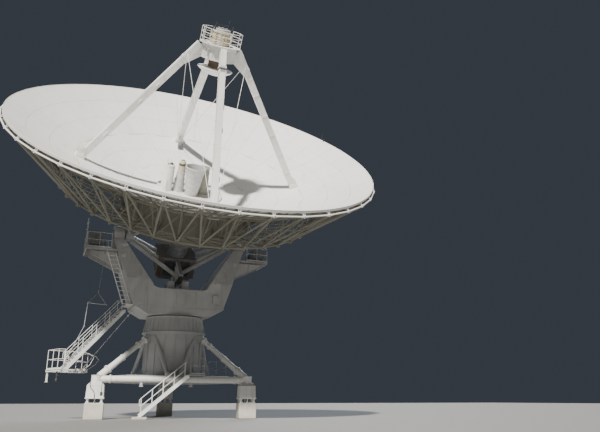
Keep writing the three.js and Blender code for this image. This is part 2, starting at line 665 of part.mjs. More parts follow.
function trussBars() {
  const parts = [];
  for (let i = 0; i < RIM_NODES; i++) {
    const rim = i * RIM_STEP;
    const low = rim + RIM_STEP / 2;
    const outer = OUTER_RING;
    parts.push(rod(polar(RIM_PIPE_RADIUS, rim + SPREAD, RIM_PIPE_Z),
      polar(outer.radius, low - SPREAD, outer.z), TRUSS_BAR * 0.6, 3));
    parts.push(rod(polar(RIM_PIPE_RADIUS, rim + RIM_STEP - SPREAD, RIM_PIPE_Z),
      polar(outer.radius, low + SPREAD, outer.z), TRUSS_BAR * 0.6, 3));
    parts.push(rod(polar(RIM_PIPE_RADIUS, rim, RIM_PIPE_Z),
      polar(DISH_RADIUS - 150, rim, surfaceZ(DISH_RADIUS) - SHELL), 40, 3));
    const inner = 2 * Math.floor(i / 2) * RIM_STEP + RIM_STEP;
    const side = i % 2 ? 1 : -1;
    parts.push(rod(polar(outer.radius, low, outer.z),
      polar(INNER_RING.radius, inner + side * 1.2, INNER_RING.z), TRUSS_BAR * 0.7, 3));
    if (i % 2) {
      parts.push(rod(polar(outer.radius, low, outer.z),
        polar(outer.radius, low, surfaceZ(outer.radius)), 60, 3));
    }
  }
  for (let i = 0; i < INNER_NODES; i++) {
    const angle = (i + 0.5) * INNER_STEP;
    const { radius, z } = INNER_RING;
    parts.push(rod(polar(radius, angle, z), polar(radius, angle, surfaceZ(radius)), 70, 3));
    parts.push(rod(polar(radius, angle, z), polar(ROOM_RADIUS - 100, angle, z), 80, 4));
  }
  return parts;
}

function hubWall() {
  const { inside, outside, bottom } = HUB_WALL;
  const top = surfaceZ(outside) + 100;
  const profile = [[inside, bottom], [outside, bottom], [outside, top], [inside, top], [inside, bottom]];
  return spun(turned(profile, INNER_NODES), INNER_STEP / 2);
}

function trussQuarter(quarter) {
  const reach = 14000;
  const gap = SEAT / 2;
  const sector = spun(box(gap, reach, gap, reach, -5000, reach), 90 * quarter);
  const rings = fuse([
    ringOf(RIM_PIPE_RADIUS, RIM_PIPE_Z, 52, RIM_NODES, 0),
    ringOf(OUTER_RING.radius, OUTER_RING.z, 60, RIM_NODES, RIM_STEP / 2),
    ringOf(INNER_RING.radius, INNER_RING.z, 75, INNER_NODES, INNER_STEP / 2),
    hubWall(),
  ]).intersect(sector);
  const nearby = trussBars().map((piece) => piece.intersect(sector));
  return fuse([rings, ...nearby]).subtract(underside).subtract(roomGrown);
}

// The vertex room under the reflector, on the neck that joins it to the counterweight
function vertexRoom(grow) {
  const top = surfaceZ(0) - SHELL - 20;
  return fuse([
    drum(ROOM_RADIUS + grow, ROOM_BOTTOM - grow, top, 20),
    drum(NECK_RADIUS, WEIGHT.top + SEAT, ROOM_BOTTOM + 10, 12),
  ]);
}

function counterweight() {
  const { halfX, front, back, top, bottom } = WEIGHT;
  return fuse([
    box(-halfX, halfX, front, back, bottom + 300, top),
    box(-halfX + 200, halfX - 200, front + 250, back - 620, bottom, bottom + 310),
  ]).subtract(box(-165, 165, -3000, 3000, -5000, bottom + 500));
}

// Toothless form of the gear sector that the elevation pinions drive
function gearSector() {
  const arc = (radius, from, to) => Array.from({ length: 17 }, (_, i) => {
    const angle = (from + (to - from) * i / 16) * DEGREE;
    return [radius * Math.sin(angle), -radius * Math.cos(angle)];
  });
  const outline = [...arc(GEAR_RADIUS, -64, 64), ...arc(GEAR_RADIUS - 330, 64, -64)];
  const rim = spun(wall(outline, -140, 140), 90);
  const arm = (side) => bar(v(0, side * 2950, -1350), v(0, side * 700, -1350), 250, 240);
  const spoke = bar(v(0, -1820, -2750), v(0, -720, -1450), 2 * SPOKE_HALF, 240);
  const web = box(-120, 120, -1000, 1000, WEIGHT.bottom - 330, WEIGHT.bottom + 500 - SEAT);
  const keep = shifted(counterweightSolid, 0, SEAT, 0).add(shifted(counterweightSolid, 0, -SEAT, 0));
  return fuse([rim, arm(-1), arm(1), spoke, web]).subtract(keep);
}

// A trunnion with its hub and the beams that carry it
function trunnion(side) {
  const hub = rod(v(side * TRUNNION_INNER, 0, 0), v(side * 3900, 0, 0), 420, 16);
  const shaft = rod(v(side * 3800, 0, 0), v(side * 4780, 0, 0), TRUNNION_RADIUS, SHAFT_SIDES);
  const halfSide = Math.PI / SHAFT_SIDES;
  const seated = TRUNNION_BORE * Math.cos(halfSide) - SEAT;
  const toBore = v(0, Math.sin(halfSide), Math.cos(halfSide)).applyAxisAngle(v(1, 0, 0), -REST_LEAN);
  const collar = rod(v(side * 4280, 0, 0), v(side * 4440, 0, 0), seated, SHAFT_SIDES, toBore);
  const parts = [hub, shaft, collar];
  for (const y of [-1, 1]) {
    parts.push(bar(v(side * 3600, y * 120, -60), v(side * 1200, y < 0 ? -540 : 750, -1450), 300, 300));
    parts.push(bar(v(side * 3550, y * 120, 100), v(side * 4320, y * 715, 2200), 200, 200));
    parts.push(bar(v(side * 3450, y * 100, 100), v(side * 1500, y * 500, 1500), 180, 180));
  }
  const spokeSide = side * (SPOKE_HALF + SEAT);
  const brace = bar(v(side * 3500, -330, -250), v(0, -1440, -2200), 260, 200);
  parts.push(brace.intersect(box(Math.min(spokeSide, side * 4000), Math.max(spokeSide, side * 4000),
    -3000, 3000, -4000, 2000)));
  const grownWeight = shifted(counterweightSolid, side * SEAT, 0, 0).add(counterweightSolid);
  return fuse(parts).subtract(grownWeight).subtract(roomGrown).subtract(innerRingGrown);
}

const roomGrown = vertexRoom(SEAT * 1.5);
const counterweightSolid = counterweight();
const innerRingGrown = turned([
  [INNER_RING.radius - 250, INNER_RING.z - 76],
  [INNER_RING.radius + 200, INNER_RING.z - 76],
  [INNER_RING.radius + 200, INNER_RING.z + 500],
  [INNER_RING.radius - 250, INNER_RING.z + 500],
  [INNER_RING.radius - 250, INNER_RING.z - 76],
], RIM_NODES);

place(dishGroup, 'reflector', turned(reflectorProfile(0), PANEL_SIDES), PANEL);
for (let quarter = 0; quarter < 4; quarter++) {
  place(dishGroup, `truss_quarter_${quarter + 1}`, trussQuarter(quarter), SHADED);
}
place(dishGroup, 'vertex_room', vertexRoom(0), PAINT);
place(dishGroup, 'counterweight', counterweightSolid, SHADED);
place(dishGroup, 'elevation_gear', gearSector(), DARK);
place(dishGroup, 'trunnion_left', trunnion(-1), PAINT);
place(dishGroup, 'trunnion_right', trunnion(1), PAINT);

// Feed ring with the horns and receivers, each height over the vertex
const over = (z) => VERTEX_OFFSET + z;
const surfaceBody = turned([[0, -3000], [DISH_RADIUS, -3000],
  ...reflectorProfile(SEAT).slice(0, PROFILE_STEPS + 1).reverse()], PANEL_SIDES);
const feedFloor = over(FEED_RING_TOP) + SEAT;

function largeHorn() {
  const height = 2050;
  return fuse([
    drum(430, feedFloor, feedFloor + height - 60, 24, -100, -950, 690),
    drum(730, feedFloor + height - 80, feedFloor + height, 24, -100, -950),
  ]);
}

const feedBox = drum(400, feedFloor, feedFloor + 1850, 16, -1800, -500, 340);

function receiver() {
  return fuse([
    drum(400, feedFloor, feedFloor + 1450, 16, -950, -450, 270),
    drum(230, feedFloor + 1440, feedFloor + 2300, 12, -960, -450),
    box(-1000, -700, -520, -380, feedFloor + 1900, feedFloor + 2020),
  ]);
}

const feedRing = drum(FEED_RING_RADIUS, over(-500), over(FEED_RING_TOP), 40).subtract(surfaceBody);
place(dishGroup, 'feed_ring', feedRing, PANEL);
place(dishGroup, 'large_horn', largeHorn(), SHADED);
place(dishGroup, 'rear_horn', drum(520, feedFloor, feedFloor + 1900, 20, 700, -200, 340), SHADED);
place(dishGroup, 'receiver', receiver(), CREAM);
place(dishGroup, 'feed_box', feedBox, PAINT);

// Quadrupod legs, each built in the X and Z plane and turned to its place
function quadrupodLeg(turn) {
  const low = v(LEG_FOOT_RADIUS, 0, surfaceZ(LEG_FOOT_RADIUS) - 100);
  const high = v(LEG_TOP.radius, 0, over(LEG_TOP.z) - 120);
  const along = high.clone().sub(low);
  const at = (share) => low.clone().addScaledVector(along, share);
  const web = wall([[BARREL.radius - 50, over(BARREL.bottom + 60)], [at(0.83).x - 60, at(0.83).z - 60],
    [at(0.83).x, at(0.83).z], [BARREL.radius - 50, over(BARREL.top - 60)]], -30, 30);
  const below = box(-200, 9000, -600, 600, 0, over(BARREL.top));
  const whole = fuse([
    bar(low, high, 380, 430),
    bar(at(0.852), at(0.862), 470, 520),
    web,
    box(LEG_FOOT_RADIUS - 330, LEG_FOOT_RADIUS + 330, -330, 330, low.z - 200, low.z + 170),
  ]).intersect(below).subtract(barrelGrown);
  return spun(whole, turn).subtract(surfaceBody);
}

function apexRailing() {
  const ring = (z) => circle(1330, 12, Math.PI / 12).map(([x, y]) => v(x, y, z));
  const floor = ring(over(BARREL.top) + 50);
  const loop = [...floor, floor[0]];
  const plate = drum(1390, over(BARREL.top) + SEAT, over(BARREL.top) + 60, 12);
  return fuse([plate, guardRail(loop, 980)]);
}

function apexEquipment() {
  const z = over(BARREL.top) + 60 + SEAT;
  return fuse([
    drum(660, z, z + 780, 12),
    drum(480, z + 770, z + 1000, 12),
    box(-700, 700, -40, 40, z + 990, z + 1060),
    rod(v(300, 0, z + 1040), v(300, 0, z + 1600), 15, 6),
  ]);
}

const barrelGrown = drum(BARREL.radius + SEAT * 1.5,
  over(BARREL.bottom) - 3000, over(BARREL.top) + 3000, 12);
const LEG_TURNS = { right: 0, upper: 90, left: 180, lower: 270 };
for (const [name, turn] of Object.entries(LEG_TURNS)) {
  place(dishGroup, `quadrupod_leg_${name}`, quadrupodLeg(turn), PAINT);
}
const barrelSolid = drum(BARREL.radius, over(BARREL.bottom), over(BARREL.top), 12);
const guideBore = drum(STEM.bore, over(BARREL.bottom) - 10, over(BARREL.bottom) + STEM.depth, 24);
place(dishGroup, 'apex_barrel', barrelSolid.subtract(guideBore), PAINT);
place(dishGroup, 'apex_railing', apexRailing(), PAINT);
place(dishGroup, 'apex_equipment', apexEquipment(), SHADED);

// The focus drum slides on its stem along the dish axis and carries the subreflector
const SUBREFLECTOR_RIM = over(9150);

function subreflector() {
  const rim = SUBREFLECTOR_RIM;
  const back = rim + 60;
  const dish = turned([[0, rim - 480], [500, rim - 415], [900, rim - 250], [1180, rim - 60], [1180, rim],
    [0, back]], 40);
  return dish.add(drum(150, rim + 30, back + RUNNING_GAP - SEAT, 16));
}

function focusDrum() {
  const top = over(BARREL.bottom) - SEAT;
  return fuse([
    drum(520, SUBREFLECTOR_RIM + 60 + RUNNING_GAP, top, 20),
    drum(STEM.radius, top - 10, over(BARREL.bottom) + STEM.depth - 60, 24),
  ]);
}

place(dishGroup, 'focus_drum', focusDrum(), BROWN);
place(dishGroup, 'subreflector', subreflector(), PAINT);

// The origin goes on the ground at the middle of the plan
group.updateMatrixWorld(true);
const plan = new THREE.Box3().setFromObject(group, true);
const shift = v(-(plan.min.x + plan.max.x) / 2, -(plan.min.y + plan.max.y) / 2, -plan.min.z);
for (const part of [baseGroup, yokeGroup, dishGroup]) part.position.add(shift);
group.updateMatrixWorld(true);

export default group;
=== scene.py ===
"""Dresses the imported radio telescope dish: fine geometry, finishes, light and camera."""
import json
import logging
from dataclasses import dataclass, field
from enum import Enum
from functools import lru_cache
from itertools import product
from math import atan2, cos, pi, radians, sin, tau
from typing import Iterable, Optional, Sequence, Union

import bpy
import bmesh
from mathutils import Matrix, Vector, noise


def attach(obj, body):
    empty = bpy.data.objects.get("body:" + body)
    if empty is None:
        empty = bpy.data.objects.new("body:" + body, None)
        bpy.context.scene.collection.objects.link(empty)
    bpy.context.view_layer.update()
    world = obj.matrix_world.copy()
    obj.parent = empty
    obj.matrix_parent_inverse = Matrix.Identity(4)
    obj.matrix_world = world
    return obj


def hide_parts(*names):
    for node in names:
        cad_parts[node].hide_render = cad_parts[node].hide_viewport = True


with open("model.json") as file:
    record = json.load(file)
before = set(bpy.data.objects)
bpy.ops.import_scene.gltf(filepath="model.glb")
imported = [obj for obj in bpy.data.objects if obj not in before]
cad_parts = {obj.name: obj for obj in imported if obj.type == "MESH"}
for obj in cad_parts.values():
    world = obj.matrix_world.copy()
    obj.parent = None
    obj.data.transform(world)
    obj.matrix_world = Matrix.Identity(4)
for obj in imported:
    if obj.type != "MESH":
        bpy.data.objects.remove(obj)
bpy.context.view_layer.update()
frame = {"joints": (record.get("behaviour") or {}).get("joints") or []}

log = logging.getLogger("dish")

Colour = tuple[float, float, float]
Point = Sequence[float]
Pair = tuple[float, float]
Profile = Sequence[Pair]


def vec(x: float, y: float, z: float) -> Vector:
    """A vector from its three numbers."""
    return Vector((x, y, z))


def at(point: Point) -> Vector:
    """A vector from a point."""
    return Vector(point)


def about_z(degrees: float) -> Matrix:
    """A turn about the upright axis."""
    return Matrix.Rotation(radians(degrees), 4, "Z")


def radial(angle: float) -> Vector:
    """A level direction, from its angle in radians."""
    return vec(cos(angle), sin(angle), 0.0)


def spokes(count: int, start: float = 0.0) -> list[Vector]:
    """Evenly spread level directions.

    Args:
        count: How many.
        start: How many steps the first one is turned.

    Returns:
        The directions.
    """
    return [radial(tau * (i + start) / count) for i in range(count)]


UP = vec(0.0, 0.0, 1.0)
ACROSS = vec(1.0, 0.0, 0.0)
ALONG = vec(0.0, 1.0, 0.0)
SIDES = (("left", -1), ("right", 1))

JOINTS = {joint["name"]: joint for joint in frame["joints"]}
AXIS_Y = JOINTS["azimuth_turn"]["pos_m"][1]
ELEVATION_Z = JOINTS["elevation_tilt"]["pos_m"][2]
# Degrees that the dish leans from the zenith in the photo
REST_LEAN = 39.54
# Degrees that the legs are turned from the yoke, and the hanging stair from its landing
BASE_TURN = -7.9
HUNG_TURN = 20.0
# The bowl, in the dish's own frame: height of its middle, four focal lengths, radius of its rim
VERTEX_Z = 3.8
FOUR_FOCAL = 36.0
RIM = 12.5

STANDING = Matrix.Translation((0.0, AXIS_Y, 0.0))
BASE = STANDING @ about_z(BASE_TURN)
YOKE = STANDING
CORNER = vec(-3.4, 0.0, 0.0)
HUNG = YOKE @ Matrix.Translation(CORNER) @ about_z(HUNG_TURN) @ Matrix.Translation(-CORNER)
DISH = Matrix.Translation((0.0, AXIS_Y, ELEVATION_Z)) @ Matrix.Rotation(radians(REST_LEAN), 4, "X")


class Body(Enum):
    """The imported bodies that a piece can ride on."""

    BASE = "base"
    YOKE = "yoke"
    DISH = "dish"
    FOCUS = "focus_carriage"
    SUBREFLECTOR = "subreflector"


class Edge(Enum):
    """How the edges of a piece are rounded off."""

    SHARP = 0.0
    ROUND = 0.02


# Shader maths


class Value:
    """One output of a shader node, so that shader maths reads as plain Python."""

    def __init__(self, graph: "Graph", output: bpy.types.NodeSocket) -> None:
        """Keeps the socket and the graph that its next nodes go into."""
        self.graph = graph
        self.output = output

    def __add__(self, other: "Number") -> "Value":
        """Sum."""
        return self.graph.maths("ADD", self, other)

    __radd__ = __add__

    def __sub__(self, other: "Number") -> "Value":
        """Difference."""
        return self.graph.maths("SUBTRACT", self, other)

    def __rsub__(self, other: "Number") -> "Value":
        """Difference with this value taken away."""
        return self.graph.maths("SUBTRACT", other, self)

    def __mul__(self, other: "Number") -> "Value":
        """Product."""
        return self.graph.maths("MULTIPLY", self, other)

    __rmul__ = __mul__

    def above(self, low: float, high: float) -> "Value":
        """A mask that rises from 0 at low to 1 at high.

        Args:
            low: The value where the mask starts to rise.
            high: The value where the mask is full.

        Returns:
            The mask, eased at both ends.
        """
        return self.graph.node(
            "ShaderNodeMapRange",
            {"interpolation_type": "SMOOTHSTEP"},
            {"Value": self, "From Min": low, "From Max": high},
            "Result",
        )


Number = Union[Value, float, int]


class Graph:
    """The node tree of one material."""

    def __init__(self, name: str) -> None:
        """Starts an empty tree with its output and its surface shader."""
        self.material = bpy.data.materials.new(name)
        self.material.use_nodes = True
        self.tree = self.material.node_tree
        self.tree.nodes.clear()
        self.end = self.tree.nodes.new("ShaderNodeOutputMaterial")
        self.surface = self.tree.nodes.new("ShaderNodeBsdfPrincipled")
        self.tree.links.new(self.surface.outputs["BSDF"], self.end.inputs["Surface"])

    def plug(self, socket: bpy.types.NodeSocket, value: object) -> None:
        """Links or sets one input socket."""
        if isinstance(value, Value):
            self.tree.links.new(value.output, socket)
        elif isinstance(value, tuple) and socket.type == "RGBA":
            socket.default_value = (*value, 1.0)
        else:
            socket.default_value = value

    def node(
        self,
        kind: str,
        settings: dict[str, object],
        inputs: dict[Union[str, int], object],
        output: Union[str, int] = 0,
    ) -> Value:
        """Adds a node.

        Args:
            kind: The node's type name.
            settings: Its properties, set before the inputs. The stops of a ramp are (place, colour) pairs.
            inputs: The values or links of its sockets, by name or number.
            output: The output that is wanted.

        Returns:
            That output.
        """
        made = self.tree.nodes.new(kind)
        for key, value in settings.items():
            if key == "stops":
                self.stops(made.color_ramp, value)
            else:
                setattr(made, key, value)
        for key, value in inputs.items():
            self.plug(made.inputs[key], value)
        return Value(self, made.outputs[output])

    @staticmethod
    def stops(ramp: bpy.types.ColorRamp, stops: Sequence[tuple[float, Colour]]) -> None:
        """Sets the stops of a colour ramp."""
        while len(ramp.elements) < len(stops):
            ramp.elements.new(0.5)
        for element, (place, colour) in zip(ramp.elements, stops):
            element.position = place
            element.color = (*colour, 1.0)

    def maths(self, operation: str, first: Number, second: Number) -> Value:
        """Works on two numbers."""
        return self.node("ShaderNodeMath", {"operation": operation}, {0: first, 1: second})

    def mix(self, factor: Number, first: object, second: object) -> Value:
        """Blends two colours."""
        settings = {"data_type": "RGBA", "clamp_factor": True}
        return self.node("ShaderNodeMix", settings, {0: factor, 6: first, 7: second}, 2)

    def place(self) -> Value:
        """The point on the object, in metres of the part's own frame."""
        return self.node("ShaderNodeTexCoord", {}, {}, "Object")

    def stretched(self, point: Value, scale: Point) -> Value:
        """The same point with each axis scaled."""
        return self.node("ShaderNodeVectorMath", {"operation": "MULTIPLY"}, {0: point, 1: tuple(scale)})

    def cloud(self, point: Value, scale: float, detail: float = 3.0, rough: float = 0.55) -> Value:
        """Soft noise from 0 to 1."""
        inputs = {"Vector": point, "Scale": scale, "Detail": detail, "Roughness": rough}
        return self.node("ShaderNodeTexNoise", {}, inputs, "Fac")

    def cells(self, point: Value, scale: float, feature: str = "F1") -> Value:
        """Distance within scattered cells."""
        return self.node("ShaderNodeTexVoronoi", {"feature": feature}, {"Vector": point, "Scale": scale}, "Distance")

    def facing_up(self) -> Value:
        """How far the surface faces upward, from -1 to 1."""
        normal = self.node("ShaderNodeNewGeometry", {}, {}, "Normal")
        return self.node("ShaderNodeSeparateXYZ", {}, {0: normal}, "Z")

    def bumped(self, height: Value, strength: float, distance: float) -> Value:
        """A normal raised by a height."""
        return self.node("ShaderNodeBump", {}, {"Height": height, "Strength": strength, "Distance": distance})

    def done(self, **sockets: object) -> bpy.types.Material:
        """Sets the surface's sockets and gives the material.

        Args:
            **sockets: Socket names with underscores for spaces.

        Returns:
            The finished material.
        """
        for key, value in sockets.items():
            self.plug(self.surface.inputs[key.replace("_", " ")], value)
        return self.material


# Finishes


@dataclass(frozen=True)
class WeatheredPaint:
    """Brushed or sprayed paint on steel that has stood outdoors for years."""

    name: str
    colour: Colour
    roughness: float = 0.5
    grime: float = 0.35
    rust: float = 0.25
    dust: float = 0.3
    soil: Colour = (0.30, 0.26, 0.21)
    stain: Colour = (0.26, 0.12, 0.05)

    def material(self) -> bpy.types.Material:
        """Builds the paint with its dirt runs, rust marks and dust."""
        g = Graph(self.name)
        point = g.place()
        broad = g.cloud(point, 0.45, 4.0)
        runs = g.cloud(g.stretched(point, (5.0, 5.0, 0.35)), 1.0, 4.0)
        fine = g.cloud(point, 14.0, 5.0, 0.6)
        faded = tuple(min(1.0, 0.06 + c * 0.97) for c in self.colour)
        worn = tuple(c * 0.86 for c in self.colour)
        paint = g.mix(broad.above(0.3, 0.7), worn, faded)
        dirty = runs.above(0.5, 0.78) * self.grime + fine.above(0.5, 0.8) * (self.grime * 0.35)
        paint = g.mix(dirty, paint, self.soil)
        upward = g.facing_up().above(0.55, 1.0) * self.dust
        paint = g.mix(upward * (0.4 + fine), paint, (0.46, 0.42, 0.36))
        spots = (g.cloud(point, 3.1, 9.0, 0.68) * 0.75 + runs * 0.25).above(0.63, 0.71) * self.rust
        paint = g.mix(spots, paint, self.stain)
        height = fine * 0.5 + g.cloud(point, 60.0, 2.0) * 0.3 - spots * 0.8
        return g.done(
            Base_Color=paint,
            Roughness=self.roughness + 0.22 * dirty + 0.3 * spots - 0.08 * broad,
            Normal=g.bumped(height, 0.12, 0.01),
        )


@dataclass(frozen=True)
class PanelSkin:
    """Matt white paint on the thin panels of the reflector, each with its own slight tone."""

    name: str
    colour: Colour
    roughness: float = 0.62

    def material(self) -> bpy.types.Material:
        """Builds the panel paint from the tone that each panel carries."""
        g = Graph(self.name)
        point = g.place()
        tone = g.node("ShaderNodeAttribute", {"attribute_name": "tone"}, {}, "Fac")
        dim = tuple(c * 0.90 for c in self.colour)
        paint = g.mix(tone, dim, self.colour)
        wash = g.cloud(g.stretched(point, (1.3, 0.5, 0.5)), 0.9, 6.0, 0.6)
        specks = g.cloud(point, 22.0, 6.0, 0.7)
        soiled = wash.above(0.52, 0.8) * 0.28 + specks.above(0.6, 0.78) * 0.18
        paint = g.mix(soiled, paint, (0.55, 0.53, 0.48))
        return g.done(
            Base_Color=paint,
            Roughness=self.roughness + 0.15 * soiled - 0.06 * wash,
            Normal=g.bumped(specks * 0.4 + wash, 0.05, 0.01),
        )


@dataclass(frozen=True)
class CastConcrete:
    """Cast concrete with form boards, pores and damp marks."""

    name: str
    colour: Colour

    def material(self) -> bpy.types.Material:
        """Builds the concrete."""
        g = Graph(self.name)
        point = g.place()
        broad = g.cloud(point, 1.6, 6.0, 0.6)
        grit = g.cloud(point, 45.0, 6.0, 0.7)
        pores = 1 - g.cells(point, 38.0).above(0.03, 0.16)
        height = g.node("ShaderNodeSeparateXYZ", {}, {0: point}, "Z")
        boards = (g.maths("PINGPONG", height, 0.125) * 8.0).above(0.93, 0.99)
        damp = (1 - height.above(0.0, 0.45)) * 0.5
        tint = g.mix(broad.above(0.3, 0.7), tuple(c * 0.8 for c in self.colour), self.colour)
        tint = g.mix(grit.above(0.45, 0.7) * 0.3, tint, (0.42, 0.40, 0.36))
        tint = g.mix(pores * 0.5 + boards * 0.3, tint, (0.24, 0.23, 0.21))
        tint = g.mix(damp * broad, tint, (0.27, 0.22, 0.16))
        relief = grit * 0.4 - pores * 0.8 - boards * 0.6
        return g.done(Base_Color=tint, Roughness=0.82 + 0.12 * broad, Normal=g.bumped(relief, 0.45, 0.008))


@dataclass(frozen=True)
class Galvanised:
    """Dull zinc with its crystal pattern."""

    name: str
    colour: Colour

    def material(self) -> bpy.types.Material:
        """Builds the zinc coat."""
        g = Graph(self.name)
        point = g.place()
        flakes = g.node("ShaderNodeTexVoronoi", {}, {"Vector": point, "Scale": 34.0}, "Color")
        flake = g.node("ShaderNodeSeparateColor", {}, {0: flakes}, "Red")
        broad = g.cloud(point, 1.2, 5.0)
        tint = g.mix(flake, tuple(c * 0.78 for c in self.colour), self.colour)
        white = g.cloud(point, 5.0, 7.0, 0.65).above(0.55, 0.72)
        tint = g.mix(white * 0.35, tint, (0.72, 0.72, 0.70))
        return g.done(
            Base_Color=tint,
            Metallic=0.75 - 0.5 * white,
            Roughness=0.42 + 0.2 * flake + 0.15 * broad,
            Normal=g.bumped(flake + white, 0.04, 0.004),
        )


@dataclass(frozen=True)
class DarkSteel:
    """Dark painted or greased steel of drives, gears and cabinets."""

    name: str
    colour: Colour
    roughness: float = 0.45
    metal: float = 0.3

    def material(self) -> bpy.types.Material:
        """Builds the dark steel with its dust and rubbed places."""
        g = Graph(self.name)
        point = g.place()
        smear = g.cloud(g.stretched(point, (1.0, 1.0, 2.2)), 3.4, 6.0, 0.6)
        fine = g.cloud(point, 30.0, 4.0)
        tint = g.mix(smear.above(0.35, 0.7), self.colour, tuple(c * 1.5 + 0.02 for c in self.colour))
        dust = g.facing_up().above(0.3, 1.0) * (0.25 + 0.5 * smear)
        tint = g.mix(dust, tint, (0.34, 0.31, 0.27))
        rubbed = fine.above(0.62, 0.72) * 0.3
        tint = g.mix(rubbed, tint, (0.42, 0.42, 0.42))
        return g.done(
            Base_Color=tint,
            Metallic=self.metal,
            Roughness=self.roughness + 0.25 * dust + 0.15 * smear,
            Normal=g.bumped(fine * 0.5 + smear, 0.12, 0.006),
        )


@dataclass(frozen=True)
class StageFloor:
    """The plain pale floor that the part stands on."""

    name: str
    colour: Colour

    def material(self) -> bpy.types.Material:
        """Builds the floor's matt coat."""
        g = Graph(self.name)
        broad = g.cloud(g.place(), 0.2, 3.0)
        return g.done(Base_Color=g.mix(broad, self.colour, tuple(c * 0.96 for c in self.colour)), Roughness=0.85)


Finish = Union[WeatheredPaint, PanelSkin, CastConcrete, Galvanised, DarkSteel, StageFloor]


@lru_cache(maxsize=None)
def material_of(finish: Finish) -> bpy.types.Material:
    """The one material of a finish."""
    return finish.material()


WHITE = WeatheredPaint("white_steel_paint", (0.80, 0.80, 0.77))
BRIGHT = WeatheredPaint("white_frame_paint", (0.86, 0.86, 0.83), grime=0.2, rust=0.12)
# Yoke paint: white paint darkened to mid grey as painted shade; used on the yoke, its platforms and the trunnions.
YOKE_SHADE_PAINT = WeatheredPaint("yoke_painted_shade", (0.50, 0.505, 0.50), grime=0.45, rust=0.3)
PANELS = PanelSkin("reflector_panel_paint", (0.88, 0.88, 0.86))
GREY = WeatheredPaint("grey_housing_paint", (0.52, 0.53, 0.53), roughness=0.45, grime=0.3, rust=0.1)
# Truss paint: white paint darkened to dark olive as painted shade, its warm tint painted ground bounce light; also used
# on the panel ribs and the rear horn.
TRUSS_SHADE = WeatheredPaint("truss_paint_painted_shade", (0.26, 0.256, 0.21), roughness=0.6, grime=0.4, rust=0.2)
# Hub wall paint: white paint darkened to near black as painted shade.
HUB_SHADE = WeatheredPaint("hub_wall_painted_shade", (0.155, 0.152, 0.118), roughness=0.7, grime=0.4, rust=0.25)
CREAM = WeatheredPaint("cream_canister_paint", (0.62, 0.56, 0.40), grime=0.35, rust=0.2)
BROWN = WeatheredPaint("brown_primer", (0.13, 0.085, 0.06), roughness=0.7, grime=0.4, rust=0.5)
# Counterweight paint: darkened to near black as painted shade.
WEIGHT_SHADE = WeatheredPaint("counterweight_painted_shade", (0.16, 0.155, 0.145), roughness=0.7, grime=0.5, rust=0.5)
# Tower paint: white paint darkened to mid grey as painted shade.
TOWER_SHADE = WeatheredPaint("tower_painted_shade", (0.48, 0.49, 0.495), grime=0.5, rust=0.3)
CONCRETE = CastConcrete("cast_concrete", (0.66, 0.63, 0.56))
ZINC = Galvanised("galvanised_steel", (0.56, 0.57, 0.58))
DARK = DarkSteel("dark_steel", (0.06, 0.065, 0.07))
CABINET = DarkSteel("cabinet_paint", (0.13, 0.14, 0.15), roughness=0.5, metal=0.1)
GREASED = DarkSteel("greased_gear_steel", (0.10, 0.09, 0.08), roughness=0.3, metal=0.7)
RUBBER = DarkSteel("black_rubber_hose", (0.03, 0.03, 0.03), roughness=0.6, metal=0.0)
FLOOR = StageFloor("pale_floor", (0.27, 0.267, 0.258))


# Mesh making


def circle(radius: float, sides: int, turn: float = 0.0) -> list[Pair]:
    """Corners of a regular outline."""
    step = tau / sides
    return [(radius * cos(i * step + turn), radius * sin(i * step + turn)) for i in range(sides)]


def chamfered(width: float, depth: float, cut: float) -> list[Pair]:
    """Corners of a rectangle with its corners cut off."""
    x, y = width / 2, depth / 2
    c = min(cut, x * 0.45, y * 0.45)
    return [(x, y - c), (x - c, y), (c - x, y), (-x, y - c), (-x, c - y), (c - x, -y), (x - c, -y), (x, c - y)]


def rectangle(width: float, depth: float) -> list[Pair]:
    """Corners of a rectangle."""
    x, y = width / 2, depth / 2
    return [(-x, -y), (x, -y), (x, y), (-x, y)]


def channel(width: float, depth: float, wall: float) -> list[Pair]:
    """Outline of a U section that opens toward +second axis."""
    x, y = width / 2, depth / 2
    return [(-x, -y), (x, -y), (x, y), (x - wall, y), (x - wall, wall - y), (wall - x, wall - y), (wall - x, y),
            (-x, y)]


def i_beam(width: float, depth: float, wall: float) -> list[Pair]:
    """Outline of an I section."""
    x, y, w = width / 2, depth / 2, wall / 2
    return [(-x, -y), (x, -y), (x, wall - y), (w, wall - y), (w, y - wall), (x, y - wall), (x, y), (-x, y),
            (-x, y - wall), (-w, y - wall), (-w, wall - y), (-x, wall - y)]


# Smallest radius of a ring of points, and the share of a rail's height where its knee rail runs
LEAST = 0.0005
KNEE = 0.52
# Angles between faces from which an edge shades sharp, and from which it is rounded off
SHARP_FROM = radians(32)
ROUND_FROM = radians(25)


